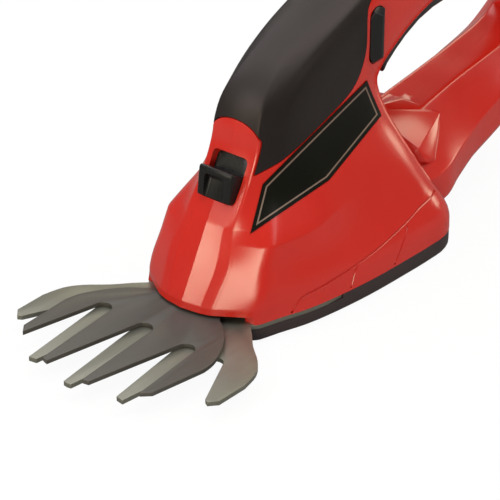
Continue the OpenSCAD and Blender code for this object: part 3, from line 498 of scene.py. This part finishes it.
red_plastic = moulded("red_plastic", (0.53, 0.0145, 0.0065), 0.2, 1300, 0.035, Specular_IOR_Level=0.66)
grip_rubber = moulded("grip_rubber", (0.009, 0.007, 0.007), 0.46, 1100, 0.06, mottle=0.15,
                      Specular_IOR_Level=0.46, Specular_Tint=(1, 0.84, 0.81, 1))
slide_black = moulded("slide_black", (0.008, 0.007, 0.007), 0.3, 900, 0.02, mottle=0.1,
                      Specular_IOR_Level=0.35)
gloss_black = moulded("gloss_black", (0.008, 0.008, 0.009), 0.24, 900, 0.01, mottle=0.1)
satin_black = moulded("satin_black", (0.012, 0.011, 0.012), 0.34, 1200, 0.03, mottle=0.12)
badge_black = moulded("badge_black", (0.006, 0.006, 0.004), 0.3, 1300, 0.015, mottle=0.1,
                      Specular_IOR_Level=0.12)
sole_black = moulded("sole_black", (0.038, 0.026, 0.028), 0.5, 1000, 0.06, mottle=0.12,
                     Specular_IOR_Level=0.3)
tray_white = moulded("tray_white", (0.72, 0.72, 0.7), 0.5, 900, 0.03)
gear_white = moulded("gear_white", (0.78, 0.77, 0.72), 0.4, 700, 0.02)
wrap_blue = moulded("wrap_blue", (0.05, 0.16, 0.4), 0.28, 400, 0.02)
board_green = moulded("board_green", (0.01, 0.12, 0.04), 0.4, 600, 0.03)
lead_red = moulded("lead_red", (0.45, 0.02, 0.02), 0.4, 800, 0.02)
lens_green = moulded("lens_green", (0.25, 0.62, 0.3), 0.15, 300, 0.01, Transmission_Weight=0.4)
trim_line = metal("trim_line", (0.24, 0.165, 0.13), 0.45, (1, 1, 1), 0.01, metallic=0.4)
blade_steel = metal("blade_steel", (0.25, 0.247, 0.208), 0.42, (12, 0.6, 1), 0.03, metallic=0.8)
blade_black = metal("blade_black", (0.085, 0.078, 0.07), 0.42, (12, 0.6, 1), 0.02, metallic=0.3)
bright_steel = metal("bright_steel", (0.62, 0.62, 0.63), 0.25, (1, 1, 8), 0.01)
dull_steel = metal("dull_steel", (0.35, 0.35, 0.36), 0.4, (1, 1, 6), 0.02)
bronze = metal("bronze", (0.55, 0.38, 0.17), 0.35, (1, 1, 6), 0.01)
light_alloy = metal("light_alloy", (0.6, 0.61, 0.63), 0.42, (6, 1, 1), 0.03)

INSIDE_FINISHES = [
    (bright_steel, ("blade_pivot", "pivot_washer", "gear_shaft", "eccentric_pin", "motor_shaft",
                    "plate_screws", "motor_screws", "lock_spring", "trigger_pin", "cell_strips")),
    (dull_steel, ("housing_screws", "sole_screws", "shaft_circlip", "motor_can")),
    (satin_black, ("motor_end_cap", "micro_switch", "charge_socket")),
    (bronze, ("eccentric_roller", "shaft_bush", "pinion")),
    (gear_white, ("drive_gear",)),
    (light_alloy, ("gear_plate",)),
    (lead_red, ("motor_leads",)),
    (wrap_blue, ("battery_cells",)),
    (tray_white, ("cell_tray",)),
    (board_green, ("circuit_board",)),
    (lens_green, ("charge_lamp",))]
for finish, node_names in INSIDE_FINISHES:
    for node_name in node_names:
        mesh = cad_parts[node_name].data
        mesh.materials.clear()
        mesh.materials.append(finish)


# The body's surface

def outline_at(row, inset, more):
    """Half outline of the body at a row, as half widths and ways from the front, with where that is."""
    fy, fz, ry, rz, half, flat, oval, crisp = spline(BODY_SECTIONS, row)
    depth = inset + more * oval
    front, rear = Vector((fy, fz)), Vector((ry, rz))
    along = (rear - front).normalized()
    front, rear = front + along * depth, rear - along * depth
    length = (rear - front).length
    points = []
    for i, (iron_point, oval_point) in enumerate(zip(IRON, OVAL)):
        wide = flat if i == RIDGE else half * mix(iron_point[1], oval_point[1], oval)
        end = i in (0, len(IRON) - 1)
        across = 0 if end else max(wide - depth, LEAST_HALF_WIDTH)
        points.append(Vector((across, mix(iron_point[0], oval_point[0], oval) * length)))
    return points, front, along, crisp


def half_outline(points, crisp, swell):
    """Dense half outline: front panel, facet to the corner and flank, softened where it isn't crisp."""
    mirrored = [Vector((-points[1].x, points[1].y))] + points + [Vector((-points[-2].x, points[-2].y))]

    def smooth(t):
        return Vector(spline(mirrored, t + 1))

    first = (points[RIDGE] - points[0]).normalized()
    facet = points[CORNER] - points[RIDGE]
    reach = min(RIDGE_ROUND, ROUND_SHARE * points[RIDGE].x)
    before, after = points[RIDGE] - first * reach, points[RIDGE] + facet.normalized() * reach
    turn_in = points[CORNER] - facet * CORNER_SHARE
    turn_out = smooth(CORNER + CORNER_SHARE)

    def crisp_at(t):
        if t < RIDGE_FROM:
            f = t / RIDGE_FROM
            return Vector((mix(points[0].x, before.x, f), mix(points[0].y, before.y, f ** swell)))
        if t < RIDGE_TO:
            return rounded(before, points[RIDGE], after, (t - RIDGE_FROM) / (RIDGE_TO - RIDGE_FROM))
        if t < CORNER - CORNER_SHARE:
            return after.lerp(turn_in, (t - RIDGE_TO) / (CORNER - CORNER_SHARE - RIDGE_TO))
        if t < CORNER + CORNER_SHARE:
            f = (t - CORNER + CORNER_SHARE) / (2 * CORNER_SHARE)
            return rounded(turn_in, points[CORNER], turn_out, f)
        return smooth(t)

    return [smooth(t).lerp(crisp_at(t), crisp) for t in OUTLINE_STEPS]


OUTLINE_STEPS = ([0, 0.15, 0.28, 0.4, 0.53, 0.59, STRIP_STEP, 0.65, 0.71, 0.81]
                 + [RIDGE_FROM, 0.95, RIDGE, 1.05]
                 + steps_between(RIDGE_TO, CORNER - CORNER_SHARE, 7)
                 + steps_between(CORNER - CORNER_SHARE, CORNER + CORNER_SHARE, 6)
                 + steps_between(CORNER + CORNER_SHARE, len(IRON) - 1, 30) + [len(IRON) - 1])


def crease_height(y):
    """Height of the shoulder crease, which climbs to the rear."""
    return CREASE_Z + CREASE_CLIMB * ramp(y, *CREASE_CLIMB_Y)


def body_ring(row, inset=0, more=0):
    """The left half of a ring of the body, as drawing places with their steps along the outline."""
    points, front, along, crisp = outline_at(row, inset, more)
    half = []
    for t, flat in zip(OUTLINE_STEPS, half_outline(points, crisp, 1 + ramp(row, *SWELL_ROWS))):
        y, z = front + along * flat.y
        half.append([flat.x, y, z, t])
    return half


def tent(z, top, down, up):
    """1 at the top height, with a straight fall to 0 below and above it."""
    return max(0, 1 - (top - z) / down if z < top else 1 - (z - top) / up)


def front_relief(x, z, t, strip_x, ridge_x):
    """How far back the relief of the front puts a point."""
    back = -sum(out * tent(z, top, down, up) for top, out, down, up in FRONT_CREASES)
    back += STRIP_BACK * max(0, min(x, ridge_x) - strip_x) * ramp(z, *STRIP_FADE_Z)
    back *= min(max((CORNER - t) / (CORNER - RIDGE), 0), 1)
    return back + LIP_BACK * max(0, LIP_Z - z) * (1 - ramp(t, *LIP_FADE_STEPS))


def creased_ring(row, inset=0, more=0):
    """A whole ring that bends with the crease and stands out along it."""
    ring = body_ring(row, inset, more)
    strip_x, ridge_x = ring[OUTLINE_STEPS.index(STRIP_STEP)][0], ring[OUTLINE_STEPS.index(RIDGE)][0]
    pull = max(0, 1 - abs(row - CREASE_ROW) / CREASE_PULL_ROWS)
    half = []
    for i, (x, y, z, t) in enumerate(ring):
        if pull > 0:
            moved = row + (crease_height(y) - CREASE_Z) / CREASE_ROW_HEIGHT * pull
            x, y, z, t = body_ring(moved, inset, more)[i]
        if CREASE_BAND[0] < z < CREASE_BAND[1] and row < CREASE_LAST_ROW:
            stand = tent(z, crease_height(y), CREASE_REACH_DOWN, CREASE_REACH_UP)
            stand *= min(max((t - RIDGE) / (CORNER - RIDGE), 0), 1) * (1 - ramp(y, *CREASE_FADE_Y))
            x += CREASE_OUT * stand
            y -= CREASE_FORWARD * stand * (1 - ramp(y, *FORWARD_FADE_Y))
        if row < FRONT_ROWS:
            y += front_relief(x, z, t, strip_x, ridge_x)
        if t < RIDGE and row < FRONT_ROWS:
            y -= FRONT_CROWN * (1 - t * t) * min(1, FRONT_ROWS - row)
        half.append((x, y, z))
    return half + [(-x, y, z) for x, y, z in reversed(half[1:-1])]


def row_at(z):
    """The row whose front is at a height."""
    low, high = 0, TOP_FRONT_ROW
    for _ in range(40):
        middle = (low + high) / 2
        if spline(BODY_SECTIONS, middle)[1] < z:
            low = middle
        else:
            high = middle
    return low


def body_rows():
    """The rows of the body's rings, closer together beside the sharp creases."""
    rows = []
    for i in range(len(BODY_SECTIONS) - 1):
        a, b = BODY_SECTIONS[i], BODY_SECTIONS[i + 1]
        count = max(2, round(math.hypot(b[0] - a[0], b[1] - a[1]) / ROW_SPACING))
        rows += [i + k / count for k in range(count)]
    sharp = [CREASE_ROW, row_at(LIP_Z)] + [row_at(crease[0]) for crease in FRONT_CREASES]
    rows = [r for r in rows if all(abs(r - s) > SHARP_CLEAR for s in sharp)]
    rows += [s + side for s in sharp for side in (-SHARP_STEP, 0, SHARP_STEP)]
    return sorted(rows) + [len(BODY_SECTIONS) - 1]


def body_solid(name, inset=0, more=0, drop=0):
    """The body set in from its surface, by more round the handle, and drawn down below its base."""
    rings = [creased_ring(row, inset, more) for row in body_rows()]
    if drop:
        rings.insert(0, [(x, y, z - drop) for x, y, z in rings[0]])
    return loft(name, rings)


def arm_ring(section, inset=0):
    """One closed ring of the arm with rounded edges."""
    y, low, low_x, side_x, side_z, wide_x, wide_z, top_x, top = section
    corners = [Vector(corner) for corner in (
        (0, low + inset), (low_x - inset, low + inset), (side_x - inset, side_z + inset / 2),
        (wide_x - inset, wide_z), (top_x - inset / 2, top - inset), (0, top - inset))]
    half = [corners[0]]
    for i in range(1, 5):
        to_last, to_next = corners[i - 1] - corners[i], corners[i + 1] - corners[i]
        reach = min(ARM_ROUNDS[i - 1], ROUND_SHARE * to_last.length, ROUND_SHARE * to_next.length)
        a, b = corners[i] + to_last.normalized() * reach, corners[i] + to_next.normalized() * reach
        half += [half[-1].lerp(a, k / 3) for k in (1, 2)]
        half += [rounded(a, corners[i], b, k / 4) for k in range(5)]
    half += [half[-1].lerp(corners[5], k / 3) for k in (1, 2, 3)]
    half = [(p.x, y, p.y) for p in half]
    return half + [(-x, place_y, z) for x, place_y, z in reversed(half[1:-1])]


def arm_solid(name, inset=0):
    """The arm set in from its surface."""
    rings = [arm_ring(section, inset) for section in smooth_line(ARM_SECTIONS, ARM_STEPS)]
    rings[-1] = [(x, y - inset, z) for x, y, z in rings[-1]]
    return loft(name, rings)


# Grip, badges and shells

def grip_region(name, gap=0):
    """Side view region of the grip, without the red tongue of the front."""
    edge = smooth_line(GRIP_EDGE, 5)
    region = side_prism(name, [(y, z - gap) for y, z in edge] + GRIP_OUTSIDE, -FAR, FAR)
    half, top = TONGUE_HALF_WIDTH - gap, TONGUE_TOP - gap
    arch = [(half * math.cos(a), top - TONGUE_ARCH + TONGUE_ARCH * math.sin(a))
            for a in (math.pi * i / 24 for i in range(25))]
    tongue = [(x, TONGUE_Y, z) for x, z in [(-half, TONGUE_LOW), (half, TONGUE_LOW)] + arch]
    return combine(region, prism("tongue", tongue, (0, TONGUE_DEPTH, 0)))


def grip_layer(name, gap, outside, inside):
    """The grip's region between two depths below the body's surface."""
    outer = combine(grip_region(name, gap), body_solid("outside", outside), "INTERSECT")
    return combine(outer, body_solid("inside", inside))


def badge_region(name, edge, inset=0):
    """Region of a badge through the flank, set in from its edge."""
    points = [Vector(p) for p in edge]
    count = len(points)
    moved = []
    for i in range(count):
        to_last = (points[i - 1] - points[i]).normalized()
        to_next = (points[(i + 1) % count] - points[i]).normalized()
        half_angle = to_last.angle(to_next) / 2
        moved.append(points[i] + (to_last + to_next).normalized() * inset / math.sin(half_angle))
    near, far = BADGE_DEPTHS
    outline = [BADGE_MIDDLE + BADGE_ACROSS * p.x + BADGE_UP * p.y + BADGE_FACE * near for p in moved]
    return prism(name, outline, BADGE_FACE * (far - near))


grip = grip_layer("grip", 0, 0, GRIP_DEPTH)
pocket = grip_layer("pocket", GRIP_GAP, -OVER_SURFACE, GRIP_DEPTH + GRIP_SEAT)

red_body = combine(body_solid("red_body"), arm_solid("arm"), "UNION")


def gusset(name):
    """The facets that lead from the rear edges of the flanks to the arm."""
    corners = GUSSET + [(-x, y, z) for x, y, z in GUSSET]
    bpy.ops.object.select_all(action="DESELECT")
    bpy.ops.mesh.primitive_circle_add(vertices=len(corners))
    piece = start_piece(name)
    for vertex, point in zip(piece.data.vertices, corners):
        vertex.co = at(*point)
    edit(piece)
    bpy.ops.mesh.convex_hull()
    bpy.ops.mesh.select_all(action="SELECT")
    bpy.ops.mesh.normals_make_consistent(inside=False)
    bpy.ops.object.mode_set(mode="OBJECT")
    return piece


combine(red_body, bevel(gusset("gusset"), 0.3, angle=8), "UNION")
badge_top = body_solid("badge_top", -BADGE_RISE)
badge_seat = body_solid("badge_seat", BADGE_SEAT)
line_top = body_solid("line_top", -LINE_RISE)
pocket_top = body_solid("pocket_top", -2 * OVER_SURFACE)


def layer(region, top):
    """The part of a region between the badge's seat and an outer surface."""
    return combine(combine(region, top, "INTERSECT", keep=True), badge_seat, keep=True)


def badge(side, edge):
    """A badge, the trim line on it and the tool for its pocket, all on the left side."""
    panel = layer(badge_region("badge_" + side, edge), badge_top)
    outer, inner = LINE_INSETS
    ring = combine(badge_region("badge_line_" + side, edge, outer), badge_region("line_inner", edge, inner))
    return panel, layer(ring, line_top), layer(badge_region("badge_pocket", edge, -BADGE_GAP), pocket_top)


badge_left, badge_line_left, badge_pocket_left = badge("left", BADGE_EDGE)
badge_right, badge_line_right, badge_pocket_right = [flip(piece) for piece in badge("right", FAR_BADGE)]
for tool in (badge_top, badge_seat, line_top, pocket_top):
    bpy.data.objects.remove(tool)

cavity = body_solid("cavity", WALL, HANDLE_WALL_MORE, CAVITY_DROP)
combine(cavity, arm_solid("arm_cavity", WALL), "UNION")
window = bevel(slope_block("window", WINDOW_LOW, WINDOW_HIGH), WINDOW_ROUND, segments=4, angle=60)
nose_slot = block("nose_slot", NOSE_SLOT_LOW, NOSE_SLOT_HIGH)
trigger_slot = side_prism("trigger_slot", TRIGGER_SLOT, -TRIGGER_SLOT_HALF, TRIGGER_SLOT_HALF)
socket_hole = rod("socket_hole", (0, BUTT_FROM, SOCKET_Z), (0, BUTT_TO, SOCKET_Z), SOCKET_HOLE)
lamp_hole = rod("lamp_hole", (0, BUTT_FROM, LAMP_Z), (0, BUTT_TO, LAMP_Z), LAMP_HOLE)

for tool in (pocket, badge_pocket_left, badge_pocket_right, cavity):
    combine(red_body, tool)
boss_limit = body_solid("boss_limit", BOSS_SINK, HANDLE_SINK_MORE)
combine(boss_limit, arm_solid("arm_limit", BOSS_SINK), "UNION")
for y, z in SCREW_POINTS:
    boss = combine(rod("boss", (-FAR, y, z), (FAR, y, z), BOSS_RADIUS), boss_limit, "INTERSECT", keep=True)
    combine(red_body, boss, "UNION")
bpy.data.objects.remove(boss_limit)
for tool in (window, nose_slot, trigger_slot, socket_hole, lamp_hole):
    combine(red_body, tool)


def surface_x(piece, y, z):
    """How far out the piece's surface is at a side view place."""
    hit, place, normal, index = piece.ray_cast(at(FAR, y, z), Vector((-1, 0, 0)))
    return place.x / MM if hit else 0


def groove_tool(name, points, radius):
    """A round bar that follows side view points along the body's surface."""
    line = smooth_line(points, 6)
    path = [Vector((surface_x(red_body, y, z), y, z)) for y, z in line]
    rings = []
    for i, p in enumerate(path):
        ahead = (path[min(i + 1, len(path) - 1)] - path[max(i - 1, 0)]).normalized()
        side = ahead.cross(Vector((1, 0, 0))).normalized()
        out = side.cross(ahead)
        rings.append([p + (side * math.cos(a) + out * math.sin(a)) * radius for a in turn_angles(8)])
    return loft(name, rings)


grooves = [groove_tool("groove", GROOVE, GROOVE_RADIUS)]
grooves += [groove_tool("groove", branch, BRANCH_RADIUS) for branch in GROOVE_BRANCHES]
mirrored_grooves = [flip(copy(g, "groove_far")) for g in grooves]
for tool in grooves + mirrored_grooves:
    combine(red_body, tool)

left_side = block("left_side", (SEAM_HALF, *ROOM_LOW), (FAR, *ROOM_HIGH))
right_side = block("right_side", (-FAR, *ROOM_LOW), (-SEAM_HALF, *ROOM_HIGH))
shell_left = combine(copy(red_body, "shell_left"), left_side, "INTERSECT")
shell_right = combine(red_body, right_side, "INTERSECT")
shell_right.name = "shell_right"


def button_solid(name, x0, x1, margin):
    """The lock button's rounded outline, across the side wall."""
    radius = BUTTON_HALF_WIDTH + margin
    straight = BUTTON_HALF_LENGTH - BUTTON_HALF_WIDTH
    ring = []
    for a in turn_angles(48):
        centre_z = BUTTON_Z + math.copysign(straight, math.sin(a))
        ring.append((BUTTON_Y + radius * math.cos(a), centre_z + radius * math.sin(a)))
    return side_prism(name, ring, x0, x1)


for piece in (shell_left, grip):
    combine(piece, button_solid("button_hole", 0, FAR, BUTTON_GAP))
for y, z in SCREW_POINTS:
    combine(shell_left, rod("screw_bore", (SCREW_BORE_FROM, y, z), (SCREW_BORE_TO, y, z), SCREW_RADIUS))
    combine(shell_right, rod("screw_bore", (-SCREW_BORE_TO, y, z), (-SCREW_BORE_FROM, y, z), SCREW_RADIUS))
    for piece in (shell_right, grip):
        combine(piece, rod("screw_well", (-FAR, y, z), (-SCREW_SEAT, y, z), SCREW_WELL))

settle(shell_left, "body", "red_shell", red_plastic, "housing_left")
settle(shell_right, "body", "red_shell", red_plastic, "housing_right")
settle(grip, "body", "soft_black", grip_rubber, "soft_grip")
settle(badge_left, "body", "gloss_black", badge_black, "badge_left")
settle(badge_right, "body", "gloss_black", badge_black, "badge_right")
settle(badge_line_left, "body", "bright_steel", trim_line)
settle(badge_line_right, "body", "bright_steel", trim_line)

# Sole plate

base_ring = [(x, y) for x, y, z in creased_ring(0)]


def inset_ring(ring, amount, z):
    """A top view ring pulled in towards its middle by an amount."""
    count = len(ring)
    moved = []
    for i in range(count):
        before, after = Vector(ring[i - 1]), Vector(ring[(i + 1) % count])
        ahead = (after - before).normalized()
        moved.append((ring[i][0] - ahead.y * amount, ring[i][1] + ahead.x * amount, z))
    return moved


sole = loft("sole", [inset_ring(base_ring, amount, z) for amount, z in SOLE_LAYERS])
combine(sole, block("blade_seat", BLADE_SEAT_LOW, BLADE_SEAT_HIGH))
combine(sole, block("sole_front", SOLE_FRONT_LOW, SOLE_FRONT_HIGH))
for side in (1, -1):
    for x, y in SOLE_SCREWS:
        well_ends = [(side * x, y, z) for z in SOLE_WELL_Z]
        combine(sole, rod("sole_well", *well_ends, SCREW_WELL))
settle(sole, "body", "sole_plastic", sole_black, "sole_plate")


# Blades

def arc(x, y, radius, start, end, count):
    """Top view points on an arc between two angles in degrees."""
    return [(x + radius * math.cos(math.radians(mix(start, end, i / count))),
             y + radius * math.sin(math.radians(mix(start, end, i / count)))) for i in range(count + 1)]


def whole(half):
    """Both sides of a half outline that starts and ends on the mid line."""
    return half + [(-x, y) for x, y in reversed(half) if abs(x) > 0.001]


def finish_blade(piece, bore):
    """Cuts the pivot post's bore through a blade and rounds its edges."""
    combine(piece, rod("post_hole", (0, PIVOT_Y, 0), (0, PIVOT_Y, 20), bore, sides=48))
    return bevel(piece, BLADE_ROUND, angle=40)


left_edge = [(x - FIXED_EDGE_INSET, y) for x, y in base_ring[:len(OUTLINE_STEPS) - 1]
             if FIXED_EDGE_Y[0] < y < FIXED_EDGE_Y[1]]
fixed_half = ([(0, 0), (1.9, 0.3), (7.6, 46)] + arc(11.6, 47, GULLET, 180, 0, 12)
              + [(15.6, 46), (21.2, 5.2), (24.8, 4.6)] + arc(34, 47.5, GULLET, 180, 10, 12)
              + [(48.6, 25.4), (50.5, 24.3), (53.6, 27.8)]
              + [tuple(p) for p in smooth_line(FIXED_SHOULDER, 4)] + left_edge + [(40, 122), (0, 122)])
fixed_blade = finish_blade(flat_prism("fixed_blade_ground", whole(fixed_half), *FIXED_Z), FIXED_BORE)
settle(fixed_blade, "body", "blade_steel", blade_steel, "fixed_blade")

moving_half = ([(0, 51)] + arc(0, 47, GULLET, 80, 0, 8) + [(10, 3.9), (13, 4.6)]
               + arc(23.5, 47, GULLET, 180, 0, 12) + [(33, 12.2), (36.5, 16)]
               + [tuple(p) for p in smooth_line(MOVING_SHOULDER, 4)] + [(8.6, 123.4), (0, 123.4)])


def swung(outline):
    """A top view outline turned about the pivot to where the blade rests."""
    return [(x * math.cos(REST_SWING) - (y - PIVOT_Y) * math.sin(REST_SWING),
             PIVOT_Y + x * math.sin(REST_SWING) + (y - PIVOT_Y) * math.cos(REST_SWING)) for x, y in outline]


moving_blade = flat_prism("moving_blade_ground", swung(whole(moving_half)), *MOVING_Z)
slot_outline = arc(0, SLOT_Y[0], SLOT_RADIUS, 180, 360, 16) + arc(0, SLOT_Y[1], SLOT_RADIUS, 0, 180, 16)
combine(moving_blade, flat_prism("roller_slot", swung(slot_outline), 0, 20))
finish_blade(moving_blade, MOVING_BORE)
settle(moving_blade, "blade", "blade_black", blade_black, "moving_blade")


# Release slide

def slope_prism(name, outline, half):
    """A solid with a side view outline on the slope, as wide on both sides of the mid plane."""
    return prism(name, [on_slope(-half, depth, up) for depth, up in outline], (2 * half, 0, 0))


knob = bevel(slope_prism("release_knob", KNOB_SIDE, KNOB_HALF), 1.3, segments=5, angle=15)
combine(knob, bevel(slope_prism("scoop", SCOOP_SIDE, SCOOP_HALF), 1.6, segments=5, angle=40))
bevel(knob, 0.4, segments=3, angle=40)
plate = bevel(slope_block("slide_plate", PLATE_LOW, PLATE_HIGH), 0.5, angle=60)
combine(plate, slope_block("spring_notch", NOTCH_LOW, NOTCH_HIGH))
combine(plate, slope_block("spring_relief", RELIEF_LOW, RELIEF_HIGH))
combine(knob, plate, "UNION")
catch = slope_block("catch", CATCH_LOW, CATCH_HIGH)
combine(catch, slope_block("catch_bar", CATCH_BAR_LOW, CATCH_BAR_HIGH), "UNION")
combine(catch, block("spring_ledge", LEDGE_LOW, LEDGE_HIGH), "UNION")
combine(knob, bevel(catch, 0.4, angle=60), "UNION")
settle(knob, "slide", "gloss_black", slide_black, "release_slide")


# Trigger and lock button

def pin_rod(name, half, radius):
    """A round bar along the trigger's pin."""
    return rod(name, (-half, TRIGGER_PIN_Y, TRIGGER_PIN_Z), (half, TRIGGER_PIN_Y, TRIGGER_PIN_Z), radius)


trigger = side_prism("trigger_bar", TRIGGER_EDGE, -TRIGGER_HALF, TRIGGER_HALF)
bevel(trigger, 1.4, segments=4, angle=50)
combine(trigger, pin_rod("hub", TRIGGER_HALF, HUB_RADIUS), "UNION")
combine(trigger, pin_rod("pin_hole", FAR, PIN_BORE))
combine(trigger, rod("spring_pocket", (0, POCKET_Y, POCKET_Z), (0, POCKET_Y, POCKET_TOP), POCKET_RADIUS))
settle(trigger, "switch_bar", "black_plastic", satin_black, "trigger")

button = button_solid("lock_key", *KEY_BASE_X, 0)
key_roof = [(x, BUTTON_Y + across, BUTTON_Z - BUTTON_HALF_LENGTH) for across, x in KEY_TOP]
key = prism("key_top", key_roof, (0, 0, 2 * BUTTON_HALF_LENGTH))
key_front = [(x, BUTTON_Y - KEY_ENDS_HALF, BUTTON_Z + up) for x, up in KEY_ENDS]
combine(key, prism("key_ends", key_front, (0, 2 * KEY_ENDS_HALF, 0)), "INTERSECT")
combine(key, button_solid("key_outline", *KEY_OUTLINE_X, 0), "INTERSECT")
combine(button, key, "UNION")
bevel(button, 0.5, segments=3, angle=25)
combine(button, button_solid("key_flange", *KEY_FLANGE_X, BUTTON_FLANGE), "UNION")
stem_ends = [(x, BUTTON_Y, BUTTON_Z) for x in KEY_STEM_X]
combine(button, rod("key_stem", *stem_ends, KEY_STEM_RADIUS), "UNION")
settle(button, "button", "gloss_black", gloss_black, "lock_button")


# Springs

def coil_spring(name, y, low, high, radius):
    """A round wire coil on the mid plane, between two heights."""
    around = 16
    steps = SPRING_TURNS * around
    rings = []
    for i in range(steps + 1):
        a = 2 * math.pi * i / around
        out = Vector((math.cos(a), math.sin(a), 0))
        middle = Vector((0, y, mix(low + SPRING_WIRE, high - SPRING_WIRE, i / steps))) + out * radius
        rings.append([middle + out * SPRING_WIRE * math.cos(b) + Vector((0, 0, SPRING_WIRE * math.sin(b)))
                      for b in turn_angles(8)])
    return loft(name, rings)


for name, joint, y, low, high, radius, keep in SPRINGS:
    spring = coil_spring(name + "_coil", y, low, high, radius)
    settle(spring, "body", "bright_steel", bright_steel, name + "_spring", angle=60)
    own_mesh(spring)

# Floor, light and camera

FLOOR_SIZE, FLOOR_Z = 8, -0.0004
FLOOR_PALE, FLOOR_IN_GLOSS = (0.9, 0.9, 0.9, 1), (0.16, 0.16, 0.16, 1)
FLOOR_GLOW = (("Is Camera Ray", 0.94), ("Is Glossy Ray", 0.1), ("Is Transmission Ray", 0.94))
SKY_LIGHT, SKY_SEEN = 0.2, 1

bpy.ops.object.select_all(action="DESELECT")
bpy.ops.mesh.primitive_plane_add(size=FLOOR_SIZE, location=(0, 0, FLOOR_Z))
floor = start_piece("floor")
floor_paint = bpy.data.materials.new("floor_paint")
floor_paint.use_nodes = True
floor_tree = floor_paint.node_tree
floor_shader = floor_tree.nodes["Principled BSDF"]
floor_shader.inputs["Roughness"].default_value = 0.8
floor_glow = floor_tree.nodes.new("ShaderNodeEmission")
floor_glow.inputs["Color"].default_value = (1, 1, 1, 1)
floor_mix = floor_tree.nodes.new("ShaderNodeMixShader")
floor_path = floor_tree.nodes.new("ShaderNodeLightPath")
floor_shade = floor_tree.nodes.new("ShaderNodeMix")
floor_shade.data_type = "RGBA"
floor_shade.inputs["A"].default_value = FLOOR_PALE
floor_shade.inputs["B"].default_value = FLOOR_IN_GLOSS
floor_tree.links.new(floor_path.outputs["Is Glossy Ray"], floor_shade.inputs["Factor"])
floor_tree.links.new(floor_shade.outputs["Result"], floor_shader.inputs["Base Color"])
glow_share = floor_mix.inputs["Fac"]
for ray, share in FLOOR_GLOW:
    seen = floor_tree.nodes.new("ShaderNodeMath")
    seen.operation = "MULTIPLY_ADD"
    seen.inputs[1].default_value = share
    seen.inputs[2].default_value = 0
    floor_tree.links.new(floor_path.outputs[ray], seen.inputs[0])
    floor_tree.links.new(seen.outputs[0], glow_share)
    glow_share = seen.inputs[2]
floor_tree.links.new(floor_shader.outputs["BSDF"], floor_mix.inputs[1])
floor_tree.links.new(floor_glow.outputs["Emission"], floor_mix.inputs[2])
floor_tree.links.new(floor_mix.outputs["Shader"], floor_tree.nodes["Material Output"].inputs["Surface"])
floor.data.materials.append(floor_paint)

scene = bpy.context.scene
scene.view_settings.view_transform = "Standard"
world = bpy.data.worlds.new("studio")
scene.world = world
world.use_nodes = True
world_tree = world.node_tree
sky = world_tree.nodes["Background"]
sky.inputs["Color"].default_value = (1, 1, 1, 1)
sky_path = world_tree.nodes.new("ShaderNodeLightPath")
sky_strength = world_tree.nodes.new("ShaderNodeMix")
sky_strength.inputs["A"].default_value = SKY_LIGHT
sky_strength.inputs["B"].default_value = SKY_SEEN
world_tree.links.new(sky_path.outputs["Is Camera Ray"], sky_strength.inputs["Factor"])
world_tree.links.new(sky_strength.outputs["Result"], sky.inputs["Strength"])

# Place on the mid plane that the lamps and the camera look at
AIM = at(0, 111.053, 18.758)


def lamp(name, direction, distance, size, power, colour):
    """A soft box at a distance in metres, which looks at the part from a direction."""
    away = Vector(direction).normalized()
    data = bpy.data.lights.new(name, "AREA")
    data.shape = "RECTANGLE"
    data.size, data.size_y = size
    data.energy = power
    data.color = colour
    lamp_object = bpy.data.objects.new(name, data)
    lamp_object.location = AIM + away * distance
    lamp_object.rotation_mode = "QUATERNION"
    lamp_object.rotation_quaternion = away.to_track_quat("Z", "Y")
    scene.collection.objects.link(lamp_object)


WHITE, WARM = (1, 1, 1), (1, 0.92, 0.68)
lamp("top_box", (-0.1, 0, 1), 1.4, (0.9, 0.9), 6.4, WHITE)
lamp("side_box", (0.55, 0.25, 0.95), 1.4, (1, 1), 6.6, WHITE)
lamp("far_box", (-0.7, 0.1, 0.7), 1.4, (0.9, 0.9), 4.4, WHITE)
lamp("rear_box", (0.0913, 0.6497, 0.7547), 1.3, (0.5, 0.4), 2.8, WARM)
lamp("heel_card", (0.3345, 0.919, 0.208), 1.2, (0.4, 0.26), 1.9, WARM)
lamp("blade_card", (-0.505, 0.7776, 0.3746), 1.4, (0.9, 0.3), 2.2, WARM)
lamp("left_box", (-0.4, -0.866, 0.313), 1.2, (0.21, 0.27), 1.6, WARM)
lamp("right_box", (0.4149, -0.8698, 0.2572), 1.2, (0.66, 0.32), 5.1, WARM)
lamp("ridge_box", (-0.18, -0.826, 0.545), 1.2, (0.1, 0.12), 0.5, WARM)
lamp("grip_box", (-0.36, -0.66, 0.66), 1.2, (0.24, 0.24), 2.6, WHITE)

LOOK_AZIMUTH, LOOK_ELEVATION = math.radians(39.573), math.radians(29.351)
LOOK_DISTANCE = 0.9954
SENSOR, LENS = 36, 172.8
back = Vector((math.cos(LOOK_ELEVATION) * math.sin(LOOK_AZIMUTH),
               -math.cos(LOOK_ELEVATION) * math.cos(LOOK_AZIMUTH), math.sin(LOOK_ELEVATION)))
camera = bpy.data.objects.new("camera", bpy.data.cameras.new("camera"))
camera.data.sensor_width = SENSOR
camera.data.lens = LENS
camera.location = AIM + back * LOOK_DISTANCE
camera.rotation_mode = "QUATERNION"
camera.rotation_quaternion = back.to_track_quat("Z", "Y")
scene.collection.objects.link(camera)
scene.camera = camera
